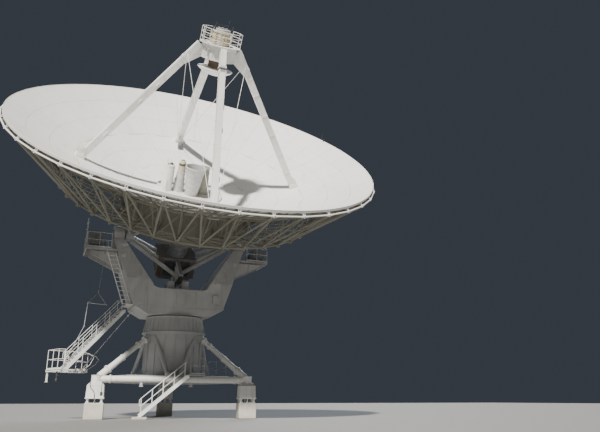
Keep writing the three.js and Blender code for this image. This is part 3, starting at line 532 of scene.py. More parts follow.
class Maker:
    """Collects the faces of one piece in a local frame and turns them into an object."""

    def __init__(self, place: Matrix) -> None:
        """Starts an empty piece whose points are given in the frame of place."""
        self.place = place
        self.points: list[Vector] = []
        self.faces: list[tuple[int, ...]] = []
        self.inks: list[int] = []
        self.tones: list[float] = []
        self.ink = 0
        self.tone = 0.5

    def add(self, points: Iterable[Vector], faces: Iterable[Sequence[int]]) -> None:
        """Adds points and the faces between them."""
        start = len(self.points)
        self.points.extend(points)
        for face in faces:
            self.faces.append(tuple(start + i for i in face))
            self.inks.append(self.ink)
            self.tones.append(self.tone)

    def skin(self, rings: Sequence[Sequence[Vector]], closed: bool = False, caps: bool = True) -> None:
        """Joins rings of equally many points.

        Args:
            rings: The rings, each a closed outline.
            closed: Whether the last ring joins the first.
            caps: Whether the two end rings are filled.
        """
        count = len(rings[0])
        faces: list[Sequence[int]] = []
        spans = len(rings) if closed else len(rings) - 1
        for i in range(spans):
            a, b = i * count, (i + 1) % len(rings) * count
            faces.extend((a + j, a + (j + 1) % count, b + (j + 1) % count, b + j) for j in range(count))
        if caps and not closed:
            faces.append(tuple(reversed(range(count))))
            faces.append(tuple(range((len(rings) - 1) * count, len(rings) * count)))
        self.add([point for ring in rings for point in ring], faces)

    @staticmethod
    def basis(way: Vector, side: Vector) -> tuple[Vector, Vector]:
        """Two directions square to a way, the first as near to side as it can be."""
        lead = side if abs(side.dot(way)) < 0.99 else ACROSS if abs(way.x) < 0.9 else ALONG
        first = (lead - way * lead.dot(way)).normalized()
        return first, way.cross(first)

    def section(self, profile: Profile, start: Point, end: Point, side: Point = UP) -> None:
        """Runs an outline from one point to another.

        Args:
            profile: The outline, first axis along side.
            start: Where the run starts.
            end: Where it ends.
            side: The direction that the outline's first axis lies along.
        """
        a, b = at(start), at(end)
        first, second = self.basis((b - a).normalized(), at(side))
        self.skin([[p + first * x + second * y for x, y in profile] for p in (a, b)])

    def tube(self, start: Point, end: Point, radius: float, sides: int = 10) -> None:
        """A round bar."""
        self.section(circle(radius, sides), start, end)

    def post(self, spot: Pair, low: float, high: float, radius: float, sides: int = 10) -> None:
        """An upright round bar between two heights."""
        self.tube((*spot, low), (*spot, high), radius, sides)

    def bar(self, start: Point, end: Point, width: float, depth: float, side: Point = UP, cut: float = 0.01) -> None:
        """A box bar with cut corners: width lies along side."""
        self.section(chamfered(width, depth, cut), start, end, side)

    def path(self, points: Sequence[Point], radius: float, sides: int = 8, closed: bool = False) -> None:
        """A round bar bent along a path, mitred at each point."""
        line = [at(p) for p in points]
        rings = []
        first: Optional[Vector] = None
        for i, point in enumerate(line):
            before = line[i - 1] if closed or i else point
            after = line[(i + 1) % len(line)] if closed or i < len(line) - 1 else point
            way = ((point - before).normalized() + (after - point).normalized()).normalized()
            first = self.basis(way, first or UP)[0]
            second = way.cross(first)
            rings.append([point + first * x + second * y for x, y in circle(radius, sides)])
        self.skin(rings, closed, not closed)

    def lathe(self, profile: Profile, sides: int, x: float = 0, y: float = 0, closed: bool = False,
              z: float = 0) -> None:
        """Turns a profile about an upright line.

        Args:
            profile: Its (radius, height) pairs.
            sides: How many sides a turn has.
            x: Where the line stands, across.
            y: Where the line stands, along.
            closed: Whether the profile's end joins its start.
            z: The height that the profile is measured from.
        """
        rings = [[vec(x + u, y + v, z + height) for u, v in circle(max(radius, LEAST), sides)]
                 for radius, height in profile]
        self.skin(rings, closed, not closed)

    def box(self, low: Point, high: Point, cut: float = 0.01) -> None:
        """A box between two corners with all its edges cut."""
        lo, hi = at(low), at(high)
        centre, half = (lo + hi) / 2, (hi - lo) / 2
        c = min(cut, *(h * 0.45 for h in half))
        signs = list(product((-1, 1), repeat=3))
        where = {key: i for i, key in enumerate(product(signs, range(3)))}
        points = [centre + Vector([s[i] * (half[i] if i == axis else half[i] - c) for i in range(3)])
                  for s, axis in where]
        faces: list[Sequence[int]] = []
        for axis in range(3):
            u, v = (axis + 1) % 3, (axis + 2) % 3

            def corner(s: int, su: int, sv: int, face: int) -> int:
                """The point of a corner that lies on a face."""
                sign = {axis: s, u: su, v: sv}
                return where[((sign[0], sign[1], sign[2]), face)]

            for s in (-1, 1):
                loop = [corner(s, su, sv, axis) for su, sv in ((-1, -1), (1, -1), (1, 1), (-1, 1))]
                faces.append(loop[::s])
            for su, sv in product((-1, 1), repeat=2):
                loop = [corner(-1, su, sv, u), corner(1, su, sv, u), corner(1, su, sv, v), corner(-1, su, sv, v)]
                faces.append(loop[::su * sv])
        for s in signs:
            faces.append([where[(s, axis)] for axis in range(3)][::s[0] * s[1] * s[2]])
        self.add(points, faces)

    def plate(self, outline: Sequence[Point], thick: Point) -> None:
        """A flat plate: its outline swept by a short vector."""
        shift = at(thick)
        ring = [at(p) for p in outline]
        self.skin([ring, [p + shift for p in ring]])

    def fin(self, out: Vector, half: float, outline: Profile, spot: Point = (0, 0, 0)) -> None:
        """An upright plate that stands out from an upright line.

        Args:
            out: The level direction that it points in.
            half: Half its thickness.
            outline: Its corners, as (distance, height) pairs.
            spot: The point that these are measured from.
        """
        wide = vec(-out.y, out.x, 0) * half
        self.plate([at(spot) + out * x + UP * z - wide for x, z in outline], wide * 2)

    def bolt(self, spot: Point, way: Point, size: float = 0.022) -> None:
        """A hexagon head with its washer."""
        base, out = at(spot), at(way).normalized()
        self.section(circle(size * 1.35, 10), base, base + out * size * 0.25)
        self.section(circle(size, 6), base + out * size * 0.25, base + out * size * 1.1)

    def bolts(self, centre: Point, way: Point, radius: float, count: int, size: float = 0.022) -> None:
        """A ring of bolts."""
        middle, out = at(centre), at(way).normalized()
        first, second = self.basis(out, UP)
        for x, y in circle(radius, count, pi / count):
            self.bolt(middle + first * x + second * y, out, size)

    def collar(self, spot: Point, way: Point, radius: float, thick: float, circle_of: float, count: int,
               size: float) -> None:
        """A round flange with bolts on the face that looks back.

        Args:
            spot: The middle of that face.
            way: The direction that the flange is thick in.
            radius: The flange's radius.
            thick: Its thickness.
            circle_of: The radius of the ring of bolts.
            count: How many bolts.
            size: Their size.
        """
        base, out = at(spot), at(way).normalized()
        self.tube(base, base + out * thick, radius, 28)
        self.bolts(base, -out, circle_of, count, size)

    def grating(self, low: Point, high: Point, pitch: float = 0.075, wall: float = 0.008) -> None:
        """Open bar grating between two corners."""
        lo, hi = at(low), at(high)
        deep, mid = hi.z - lo.z, (lo.z + hi.z) / 2
        across, along = (max(2, round(span / step))
                         for span, step in ((hi.x - lo.x, pitch), (hi.y - lo.y, pitch * 1.6)))
        for i in range(across + 1):
            x = lo.x + (hi.x - lo.x) * i / across
            self.section(rectangle(deep, wall), (x, lo.y, mid), (x, hi.y, mid))
        for i in range(along + 1):
            y = lo.y + (hi.y - lo.y) * i / along
            self.section(rectangle(deep / 1.5, wall), (lo.x, y, mid + deep / 7), (hi.x, y, mid + deep / 7))

    def railing(self, path: Sequence[Point], height: float = 1.07, radius: float = 0.021, toe: bool = True,
                closed: bool = False) -> None:
        """A tube guard rail with posts, a knee rail, foot plates and a toe board."""
        line = [at(p) for p in path]
        for point in line:
            self.tube(point, point + UP * height, radius, 8)
            self.section(chamfered(0.11, 0.11, 0.01), point, point + UP * 0.012, ACROSS)
        for level in (height, height * KNEE):
            self.path([p + UP * level for p in line], radius * 0.95, 8, closed)
        if toe:
            loop = [*line, line[0]] if closed else line
            for a, b in zip(loop, loop[1:]):
                lift = UP * 0.07
                self.section(chamfered(0.1, 0.008, 0.002), a + lift, b + lift)

    def soften(self, mesh: bpy.types.Mesh, width: float) -> None:
        """Rounds the sharp edges of a mesh."""
        work = bmesh.new()
        work.from_mesh(mesh)
        bmesh.ops.remove_doubles(work, verts=work.verts, dist=1e-5)
        edges = [e for e in work.edges if len(e.link_faces) == 2 and e.calc_face_angle() > ROUND_FROM]
        bmesh.ops.bevel(work, geom=edges, offset=width, segments=2, affect="EDGES", clamp_overlap=True)
        work.to_mesh(mesh)
        work.free()

    def build(self, name: str, finishes: Sequence[Finish], body: Body, slot: str, stands_for: Sequence[str] = (),
              edge: Edge = Edge.SHARP) -> bpy.types.Object:
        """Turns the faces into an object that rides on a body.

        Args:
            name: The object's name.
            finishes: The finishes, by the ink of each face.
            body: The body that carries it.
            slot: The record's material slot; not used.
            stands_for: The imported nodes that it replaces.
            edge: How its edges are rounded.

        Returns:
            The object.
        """
        mesh = bpy.data.meshes.new(name)
        mesh.from_pydata([self.place @ p for p in self.points], [], self.faces)
        mesh.polygons.foreach_set("material_index", self.inks)
        tone = mesh.attributes.new("tone", "FLOAT", "FACE")
        tone.data.foreach_set("value", self.tones)
        work = bmesh.new()
        work.from_mesh(mesh)
        bmesh.ops.recalc_face_normals(work, faces=work.faces)
        work.to_mesh(mesh)
        work.free()
        if edge is not Edge.SHARP:
            self.soften(mesh, edge.value)
        for finish in finishes:
            mesh.materials.append(material_of(finish))
        mesh.polygons.foreach_set("use_smooth", [True] * len(mesh.polygons))
        mesh.set_sharp_from_angle(angle=SHARP_FROM)
        mesh.update()
        made = bpy.data.objects.new(name, mesh)
        bpy.context.scene.collection.objects.link(made)
        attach(made, body.value)
        if stands_for:
            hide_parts(*stands_for)
        log.info("%s: %d faces on %s", name, len(mesh.polygons), body.value)
        return made


# Sub-assemblies


@dataclass
class BaseFrame:
    """Three piers, feet and struts, and the beams that join the feet."""

    radius: float = 5.56
    pier_side: float = 1.15
    pier_top: float = 1
    foot_bottom: float = 1.24
    beam_z: float = 2.45
    beam_radius: float = 0.225
    stub: float = 0.82
    strut_start: tuple[float, float, float] = (5.4, 0, 2.62)
    strut_end: tuple[float, float, float] = (1.9, 0, 5.42)
    legs: dict[str, float] = field(default_factory=lambda: {"left": -150.0, "right": -30.0, "rear": 90.0})
    sides: dict[str, float] = field(default_factory=lambda: {"front": -90.0, "right": 30.0, "left": 150.0})

    def turned(self, degrees: float) -> Matrix:
        """The frame of a leg or side, where +X points outward."""
        return BASE @ about_z(degrees)

    def squared(self, degrees: float) -> Matrix:
        """The frame of a pier: at its middle, with its sides along the base."""
        turn = about_z(degrees)
        return BASE @ Matrix.Translation(turn @ vec(self.radius, 0, 0))

    def strut_at(self, length: float) -> Vector:
        """A point along a strut, measured from its foot."""
        start, end = at(self.strut_start), at(self.strut_end)
        return start + (end - start).normalized() * length

    def pier(self, name: str, degrees: float) -> None:
        """One cast pier, stepped back under its top."""
        m = Maker(self.squared(degrees))
        for half, low, high, cut in ((self.pier_side / 2, 0, self.pier_top - 0.012, 0.03),
                                     (self.pier_side / 2 - 0.05, 0.2, self.pier_top, 0.02)):
            m.box((-half, -half, low), (half, half, high), cut)
        m.build(f"cast_pier_{name}", [CONCRETE], Body.BASE, "concrete", [f"pier_{name}"])

    def foot(self, name: str, degrees: float) -> None:
        """One welded foot: a box on anchor bolts with a round head, sockets and gussets."""
        m = Maker(self.squared(degrees))
        low, neck = self.foot_bottom, self.foot_bottom + 0.82
        m.box((-0.57, -0.57, low), (0.57, 0.57, low + 0.07), 0.012)
        for x, y in product((-0.42, 0.42), repeat=2):
            m.post((x, y), self.pier_top, low + 0.01, 0.06, 14)
            for z, size in ((self.pier_top + 0.005, 0.1), (low - 0.075, 0.095)):
                m.post((x, y), z, z + 0.065, size, 6)
        for out in spokes(4):
            m.tube(out * 0.43 + UP * self.pier_top, out * 0.43 + UP * (low + 0.02), 0.03, 10)
            m.bolt(out * 0.43 + UP * (self.pier_top + 0.004), UP, 0.05)
        box = ((0.545, low + 0.07), (0.54, low + 0.1), (0.512, neck - 0.04), (0.522, neck - 0.038), (0.522, neck),
               (0.51, neck + 0.01), (0.292, neck + 0.235), (0.285, neck + 0.24))
        m.skin([[vec(x, y, z) for x, y in chamfered(half * 2, half * 2, 0.03)] for half, z in box])
        for out in spokes(4):
            wide = vec(-out.y, out.x, 0)
            for k in (-0.42, 0.42):
                m.bar(wide * k + out * 0.542 + UP * (low + 0.1), wide * k + out * 0.514 + UP * (neck - 0.05),
                      0.014, 0.02, out, 0.003)
            spot = UP * (low + 0.42) + out * 0.528
            m.bar(spot - out * 0.004, spot + out * 0.004, 0.3, 0.4, UP, 0.03)
        leg = Maker(Matrix.Identity(4))
        leg.lathe([(0.37, low + 0.98), (0.37, low + 1.01), (0.325, low + 1.015), (0.325, self.beam_z + 0.19),
                   (0.345, self.beam_z + 0.195), (0.345, self.beam_z + 0.22),
                   (0.32, self.beam_z + 0.23)], 32, self.radius)
        centre = vec(self.radius, 0, self.beam_z)
        for side in (-1, 1):
            way = vec(-cos(radians(30)), side * 0.5, 0)
            end = centre + way * self.stub
            leg.tube(centre, end - way * 0.03, self.beam_radius - 0.015, 24)
            leg.collar(end - way * 0.04, way, 0.27, 0.04, 0.24, 12, 0.016)
        start, socket = self.strut_at(0), self.strut_at(0.7)
        way = (socket - start).normalized()
        leg.tube(start, socket - way * 0.06, 0.225, 28)
        leg.collar(socket - way * 0.05, way, 0.285, 0.05, 0.255, 12, 0.016)
        turn = about_z(degrees)
        m.add([turn @ (p - vec(self.radius, 0, 0)) for p in leg.points], leg.faces)
        m.build(f"welded_foot_{name}", [WHITE], Body.BASE, "white_paint", [f"foot_{name}"])

    def fittings(self) -> None:
        """Cables and clamp box on the left foot, and the stubs under the front beam."""
        m = Maker(self.squared(self.legs["left"]))
        m.path([(-0.34, -0.4, 2.24), (-0.33, -0.55, 2.08), (-0.28, -0.56, 1.9), (-0.1, -0.57, 1.72),
                (-0.02, -0.57, 1.5), (-0.02, -0.6, 1.2), (0, -0.56, 1)], 0.022)
        m.box((0.3, -0.6, 1.45), (0.44, -0.52, 1.66), 0.012)
        m.path([(0.37, -0.4, 2.2), (0.37, -0.53, 2.08), (0.37, -0.56, 1.64)], 0.016)
        m.build("left_foot_cables", [DARK], Body.BASE, "dark_steel")
        m = Maker(self.turned(self.sides["front"]) @ Matrix.Translation(vec(self.radius / 2, 0, self.beam_z)))
        for y in (-2.05, 1.1):
            m.post((0, y), -0.18, -0.48, 0.1, 16)
            m.post((0, y), -0.42, -0.46, 0.15, 20)
            m.bolts((0, y, -0.42), UP, 0.125, 8, 0.012)
        # The stubs take the tower paint, darkened as painted shade.
        m.build("beam_jacking_stubs", [TOWER_SHADE], Body.BASE, "white_paint")

    def strut(self, name: str, degrees: float) -> None:
        """One telescoped strut with its collars."""
        m = Maker(self.turned(degrees))
        run = at(self.strut_end) - at(self.strut_start)
        way = run.normalized()
        first, last = 0.7, run.length - 0.52
        for low, high, radius in (
                (first + 1.3, last, 0.17), (first + 0.04, first + 1.28, 0.2), (first + 1.25, first + 1.32, 0.235),
                (first + 1.2, first + 1.25, 0.218), (first + 0.2, first + 0.25, 0.213),
                (last - 0.58, last - 0.545, 0.235)):
            m.tube(self.strut_at(low), self.strut_at(high), radius, 28)
        m.collar(self.strut_at(first + 0.05), -way, 0.285, 0.05, 0.255, 12, 0.016)
        m.collar(self.strut_at(last - 0.64), way, 0.235, 0.035, 0.205, 10, 0.013)
        m.collar(self.strut_at(last - 0.05), way, 0.255, 0.05, 0.225, 10, 0.014)
        m.build(f"telescoped_strut_{name}", [WHITE], Body.BASE, "white_paint", [f"strut_{name}"])

    def beam(self, name: str, degrees: float) -> None:
        """One tube between two feet, with its collars and weld rings."""
        m = Maker(self.turned(degrees))
        middle, r = vec(self.radius / 2, 0, self.beam_z), self.beam_radius - 0.018
        half = self.radius * cos(radians(30)) - self.stub - 0.0003
        m.tube(middle - ALONG * half, middle + ALONG * half, r, 32)
        for way in (-ALONG, ALONG):
            m.collar(middle + way * (half - 0.04), way, 0.27, 0.04, 0.24, 12, 0.016)
            m.tube(middle + way * (half - 0.75), middle + way * (half - 0.72), r + 0.01, 32)
        for y in (-1.9, 0, 1.9):
            m.tube(middle + ALONG * (y - 0.012), middle + ALONG * (y + 0.012), r + 0.006, 32)
        m.build(f"tube_beam_{name}", [WHITE], Body.BASE, "white_paint", [f"beam_{name}"])

    def dress(self) -> None:
        """Builds every leg and side."""
        for name, degrees in self.legs.items():
            self.pier(name, degrees)
            self.foot(name, degrees)
            self.strut(name, degrees)
        for name, degrees in self.sides.items():
            self.beam(name, degrees)
        self.fittings()


@dataclass
class Tower:
    """Drum, skirt and azimuth bearing."""

    frame_of: BaseFrame
    radius: float = 2.0
    bottom: float = 2.25
    top: float = 5.6
    skirt_radius: float = 2.12
    skirt_top_radius: float = 1.95
    skirt_top: float = 6.7
    brace: float = 0.14
    ribs: int = 18

    def upright(self, m: Maker, out: Vector, r0: float, r1: float, z0: float, z1: float, proud: float) -> None:
        """One upright rib on a drum or cone."""
        m.fin(out, 0.014, [(r0 - 0.03, z0), (r0 + proud * 0.3, z0), (r0 + proud, z0 + 0.12), (r1 + proud, z1 - 0.12),
                           (r1 + proud * 0.3, z1), (r1 - 0.03, z1)])

    def drum(self) -> None:
        """The drum with its ribs, the strut heads and the V braces."""
        m = Maker(BASE)
        r, z0, z1 = self.radius, self.bottom, self.top - 0.0003
        m.lathe([(0, z0), (r - 0.02, z0), (r, z0 + 0.02), (r, 3.9), (r + 0.006, 3.905), (r + 0.006, 3.935), (r, 3.94),
                 (r, z1 - 0.14), (r + 0.1, z1 - 0.12), (r + 0.11, z1 - 0.11), (r + 0.11, z1), (0, z1)], 96)
        for out in spokes(self.ribs, 0.5):
            self.upright(m, out, r, r, 2.78, z1 - 0.12, 0.055)
        m.bolts((0, 0, z1 - 0.12), -UP, r + 0.06, 72, 0.016)
        base = self.frame_of
        length = (at(base.strut_end) - at(base.strut_start)).length
        for degrees in base.legs.values():
            turn = about_z(degrees)
            start, end = turn @ base.strut_at(length - 0.52), turn @ base.strut_at(length)
            m.tube(start, end, 0.23, 24)
            way = (start - end).normalized()
            m.collar(start - way * 0.05, way, 0.27, 0.05, 0.245, 10, 0.014)
            for s in (-1, 1):
                m.plate([turn @ vec(x, s * 0.26, z) for x, z in ((1.95, 4.75), (2.28, 5.2), (1.97, 5.45))],
                        turn @ vec(0, s * 0.016, 0))
        self.braces(m)
        m.build("tower_drum_shell", [TOWER_SHADE], Body.BASE, "white_paint", ["tower_drum"])

    def braces(self, m: Maker) -> None:
        """The three V braces with their foot plates on the beams."""
        out = self.frame_of.radius / 2
        seat = self.frame_of.beam_z + self.frame_of.beam_radius * cos(pi / 12) + 0.0005
        one = Maker(Matrix.Identity(4))
        one.box((out - 0.05, -0.64, seat), (out + 0.05, 0.64, seat + 0.035), 0.006)
        for s in (-1, 1):
            top, low = vec(1.4, s * 1.33, 5.33), vec(out, s * 0.44, seat + 0.13)
            way = (low - top).normalized()
            one.tube(top, low, self.brace, 20)
            one.tube(low - way * 0.22, low - way * 0.18, self.brace + 0.03, 20)
            one.box((out - 0.05, s * 0.44 - 0.17, seat + 0.02), (out + 0.05, s * 0.44 + 0.17, seat + 0.19))
            for y in (0.22, 0, -0.22):
                one.bolt((out + 0.03, s * 0.44 + y, seat + 0.035), UP, 0.018)
        for degrees in self.frame_of.sides.values():
            turn = about_z(degrees)
            m.add([turn @ p for p in one.points], one.faces)

    def skirt(self) -> None:
        """The flared skirt over the drum."""
        m = Maker(BASE)
        r0, r1, z0, z1 = self.skirt_radius, self.skirt_top_radius, self.top, self.skirt_top
        m.lathe([(0, z0), (r0 + 0.09, z0), (r0 + 0.09, z0 + 0.055), (r0, z0 + 0.06), (r1 + 0.01, z1 - 0.09),
                 (r1 + 0.06, z1 - 0.07), (r1 + 0.06, z1), (0, z1)], 96)
        m.bolts((0, 0, z0 + 0.058), UP, r0 + 0.05, 72, 0.015)
        m.bolts((0, 0, z1 - 0.072), -UP, r1 + 0.035, 60, 0.011)
        for out in spokes(36, 0.5):
            self.upright(m, out, r0 - 0.01, r1 - 0.005, z0 + 0.06, z1 - 0.07, 0.045)
        m.build("tower_skirt_shell", [TOWER_SHADE], Body.BASE, "white_paint", ["tower_skirt"])

    def bearing(self) -> None:
        """The slewing ring with its seal lips."""
        m = Maker(BASE)
        z0, z1 = self.skirt_top + 0.0003, 6.775
        m.lathe([(0, z0), (1.88, z0), (1.895, z0 + 0.01), (1.895, z0 + 0.03), (1.87, z0 + 0.034), (1.87, z0 + 0.042),
                 (1.895, z0 + 0.046), (1.895, z1 - 0.01), (1.88, z1), (1.5, z1), (1.5, 6.7797), (0, 6.7797)], 96)
        m.build("slewing_ring", [GREASED], Body.BASE, "dark_steel", ["azimuth_bearing"])

    def dress(self) -> None:
        """Builds the tower's pieces."""
        self.drum()
        self.skirt()
        self.bearing()


@dataclass
class BaseDeck:
    """Walkway deck round the tower, its rails, and the stair up to it."""

    bottom: float = 2.45 + 0.225 * cos(pi / 12) + 0.0003
    thick: float = 0.06
    inset: float = 2.59
    cut: float = 3.9
    hole: float = 2.0005
    landing: tuple[float, float, float, float] = (0.9, 1.9, -3.72, -2.5)
    stair_y: tuple[float, float] = (-3.7, -3.06)
    run: float = 2.85
    pad_top: float = 0.15
    steps: int = 13

    def outline(self) -> list[Vector]:
        """The deck's six corners."""
        corners = []
        for degrees in (-150.0, -30.0, 90.0):
            reach = (self.cut / 2 - self.inset) / cos(radians(30))
            turn = about_z(degrees)
            corners.extend(turn @ vec(self.cut, y, 0) for y in (reach, -reach))
        return corners

    def deck(self) -> None:
        """Chequer plate in sections between the tower and the edge channels."""
        m = Maker(BASE)
        top, steps = self.bottom + self.thick, 8
        corners = self.outline()
        sides = list(zip(corners, corners[1:] + corners[:1]))
        rim = [a + (b - a) * j / steps for a, b in sides for j in range(steps)]
        rim.sort(key=lambda p: atan2(p.y, p.x))
        inner = [p.normalized() * (self.hole + 0.004) for p in rim]
        for i, spot in enumerate(rim):
            j = (i + 1) % len(rim)
            quad = [inner[i], inner[j], rim[j], spot]
            if i % 4 == 0:
                quad[0] = quad[0] + (quad[1] - quad[0]) * 0.02
                quad[3] = quad[3] + (quad[2] - quad[3]) * 0.02
            m.plate([p + UP * (top - 0.012) for p in quad], UP * 0.012)
            if (spot + rim[j]).length > 4.4:
                m.bar(inner[i] * 1.01 + UP * (self.bottom + 0.02), spot * 0.99 + UP * (self.bottom + 0.02), 0.035, 0.02)
        for a, b in sides:
            m.bar(a * 0.995 + UP * (self.bottom + 0.029), b * 0.995 + UP * (self.bottom + 0.029), 0.058, 0.05)
        x0, x1, y0, y1 = self.landing
        m.grating((x0 + 0.03, y0 + 0.03, top - 0.03), (x1 - 0.03, y1, top))
        for a, b in (((x0, y0), (x1, y0)), ((x1, y0), (x1, y1)), ((x0, y0), (x0, y1))):
            m.bar((*a, self.bottom + 0.03), (*b, self.bottom + 0.03), 0.058, 0.03)
        turn = about_z(30)
        for row in ((-2.85, -1.75, -0.86), (-0.33, 0.33), (0.86, 1.7)):
            m.railing([turn @ vec(self.inset - 0.06, y, top) for y in row])
        m.railing([(x0 + 0.06, y0 + 0.04, top), (x1 - 0.04, y0 + 0.04, top), (x1 - 0.04, y1 - 0.06, top)])
        m.build("walkway_deck", [ZINC], Body.BASE, "galvanised", ["base_deck"])

    def stair(self) -> None:
        """The steep stair from the ground to the landing."""
        m = Maker(BASE)
        x_top = self.landing[0] - 0.13
        top, low = (x_top, self.bottom - 0.06), (x_top - self.run, self.pad_top + 0.06)
        Flight(top, low, self.stair_y, self.steps, floor=self.pad_top + 0.0005, end=self.landing[0] - 0.0005).into(m)
        m.build("ground_stair", [BRIGHT, ZINC], Body.BASE, "white_paint", ["lower_stair"])
        p = Maker(BASE)
        p.box((-2.5, self.stair_y[0] - 0.12, 0), (-1.6, self.stair_y[1] + 0.12, self.pad_top), 0.02)
        for y in self.stair_y:
            p.bolt((-2.2, y, self.pad_top - 0.004), UP, 0.02)
        p.build("stair_footing", [CONCRETE], Body.BASE, "concrete", ["stair_pad"])

    def dress(self) -> None:
        """Builds the deck, stair and pad."""
        self.deck()
        self.stair()


@dataclass
class Flight:
    """A straight flight along X: channel stringers, open treads and tube handrails."""

    top: tuple[float, float]
    low: tuple[float, float]
    sides: tuple[float, float]
    steps: int
    floor: float
    end: float
    rail: float = 1

    def point(self, share: float, y: float, lift: float = 0) -> Vector:
        """A point on the flight's slope."""
        x = self.top[0] + share * (self.low[0] - self.top[0])
        z = self.top[1] + share * (self.low[1] - self.top[1])
        return vec(x, y, z + lift)

    def into(self, m: Maker) -> None:
        """Adds the flight to a piece: frame in ink 0, treads in ink 1."""
        y0, y1 = self.sides
        for y, s in ((y0 + 0.025, 1), (y1 - 0.025, -1)):
            head, foot = self.point(0, y), self.point(1, y)
            m.section([(x, s * z) for x, z in channel(0.23, 0.05, 0.008)], head, foot)
            posts = [self.point(share, y) for share in (0.05, 0.28, 0.51, 0.74, 0.97)]
            for post in posts:
                m.tube(post, post + UP * self.rail, 0.019, 8)
            heads = [p + UP * self.rail for p in posts]
            ends = [heads[-1] - vec(x, 0, z) for x, z in ((0.1, 0.12), (0.11, 0.45), (0, 0.5))]
            m.path([heads[0] + vec(0.12, 0, 0.02), *heads, *ends], 0.02)
            m.path([p + UP * self.rail * KNEE for p in posts], 0.016)
            m.box((foot.x - 0.09, y - 0.03, self.floor), (foot.x + 0.06, y + 0.03, self.floor + 0.012), 0.003)
            m.box((foot.x - 0.05, y - 0.022, self.floor), (foot.x + 0.02, y + 0.022, foot.z), 0.004)
            m.box((head.x - 0.02, y - 0.022, head.z - 0.1), (self.end, y + 0.022, head.z + 0.11), 0.004)
        m.ink = 1
        nose = -0.12 if self.low[0] < self.top[0] else 0.12
        for i in range(1, self.steps):
            spot = self.point(i / self.steps, 0)
            x, z = spot.x, spot.z + 0.06
            m.grating((x - 0.12, y0 + 0.04, z - 0.028), (x + 0.12, y1 - 0.04, z), 0.04, 0.005)
            m.bar((x + nose, y0 + 0.035, z - 0.014), (x + nose, y1 - 0.035, z - 0.014), 0.034, 0.014)
        m.ink = 0


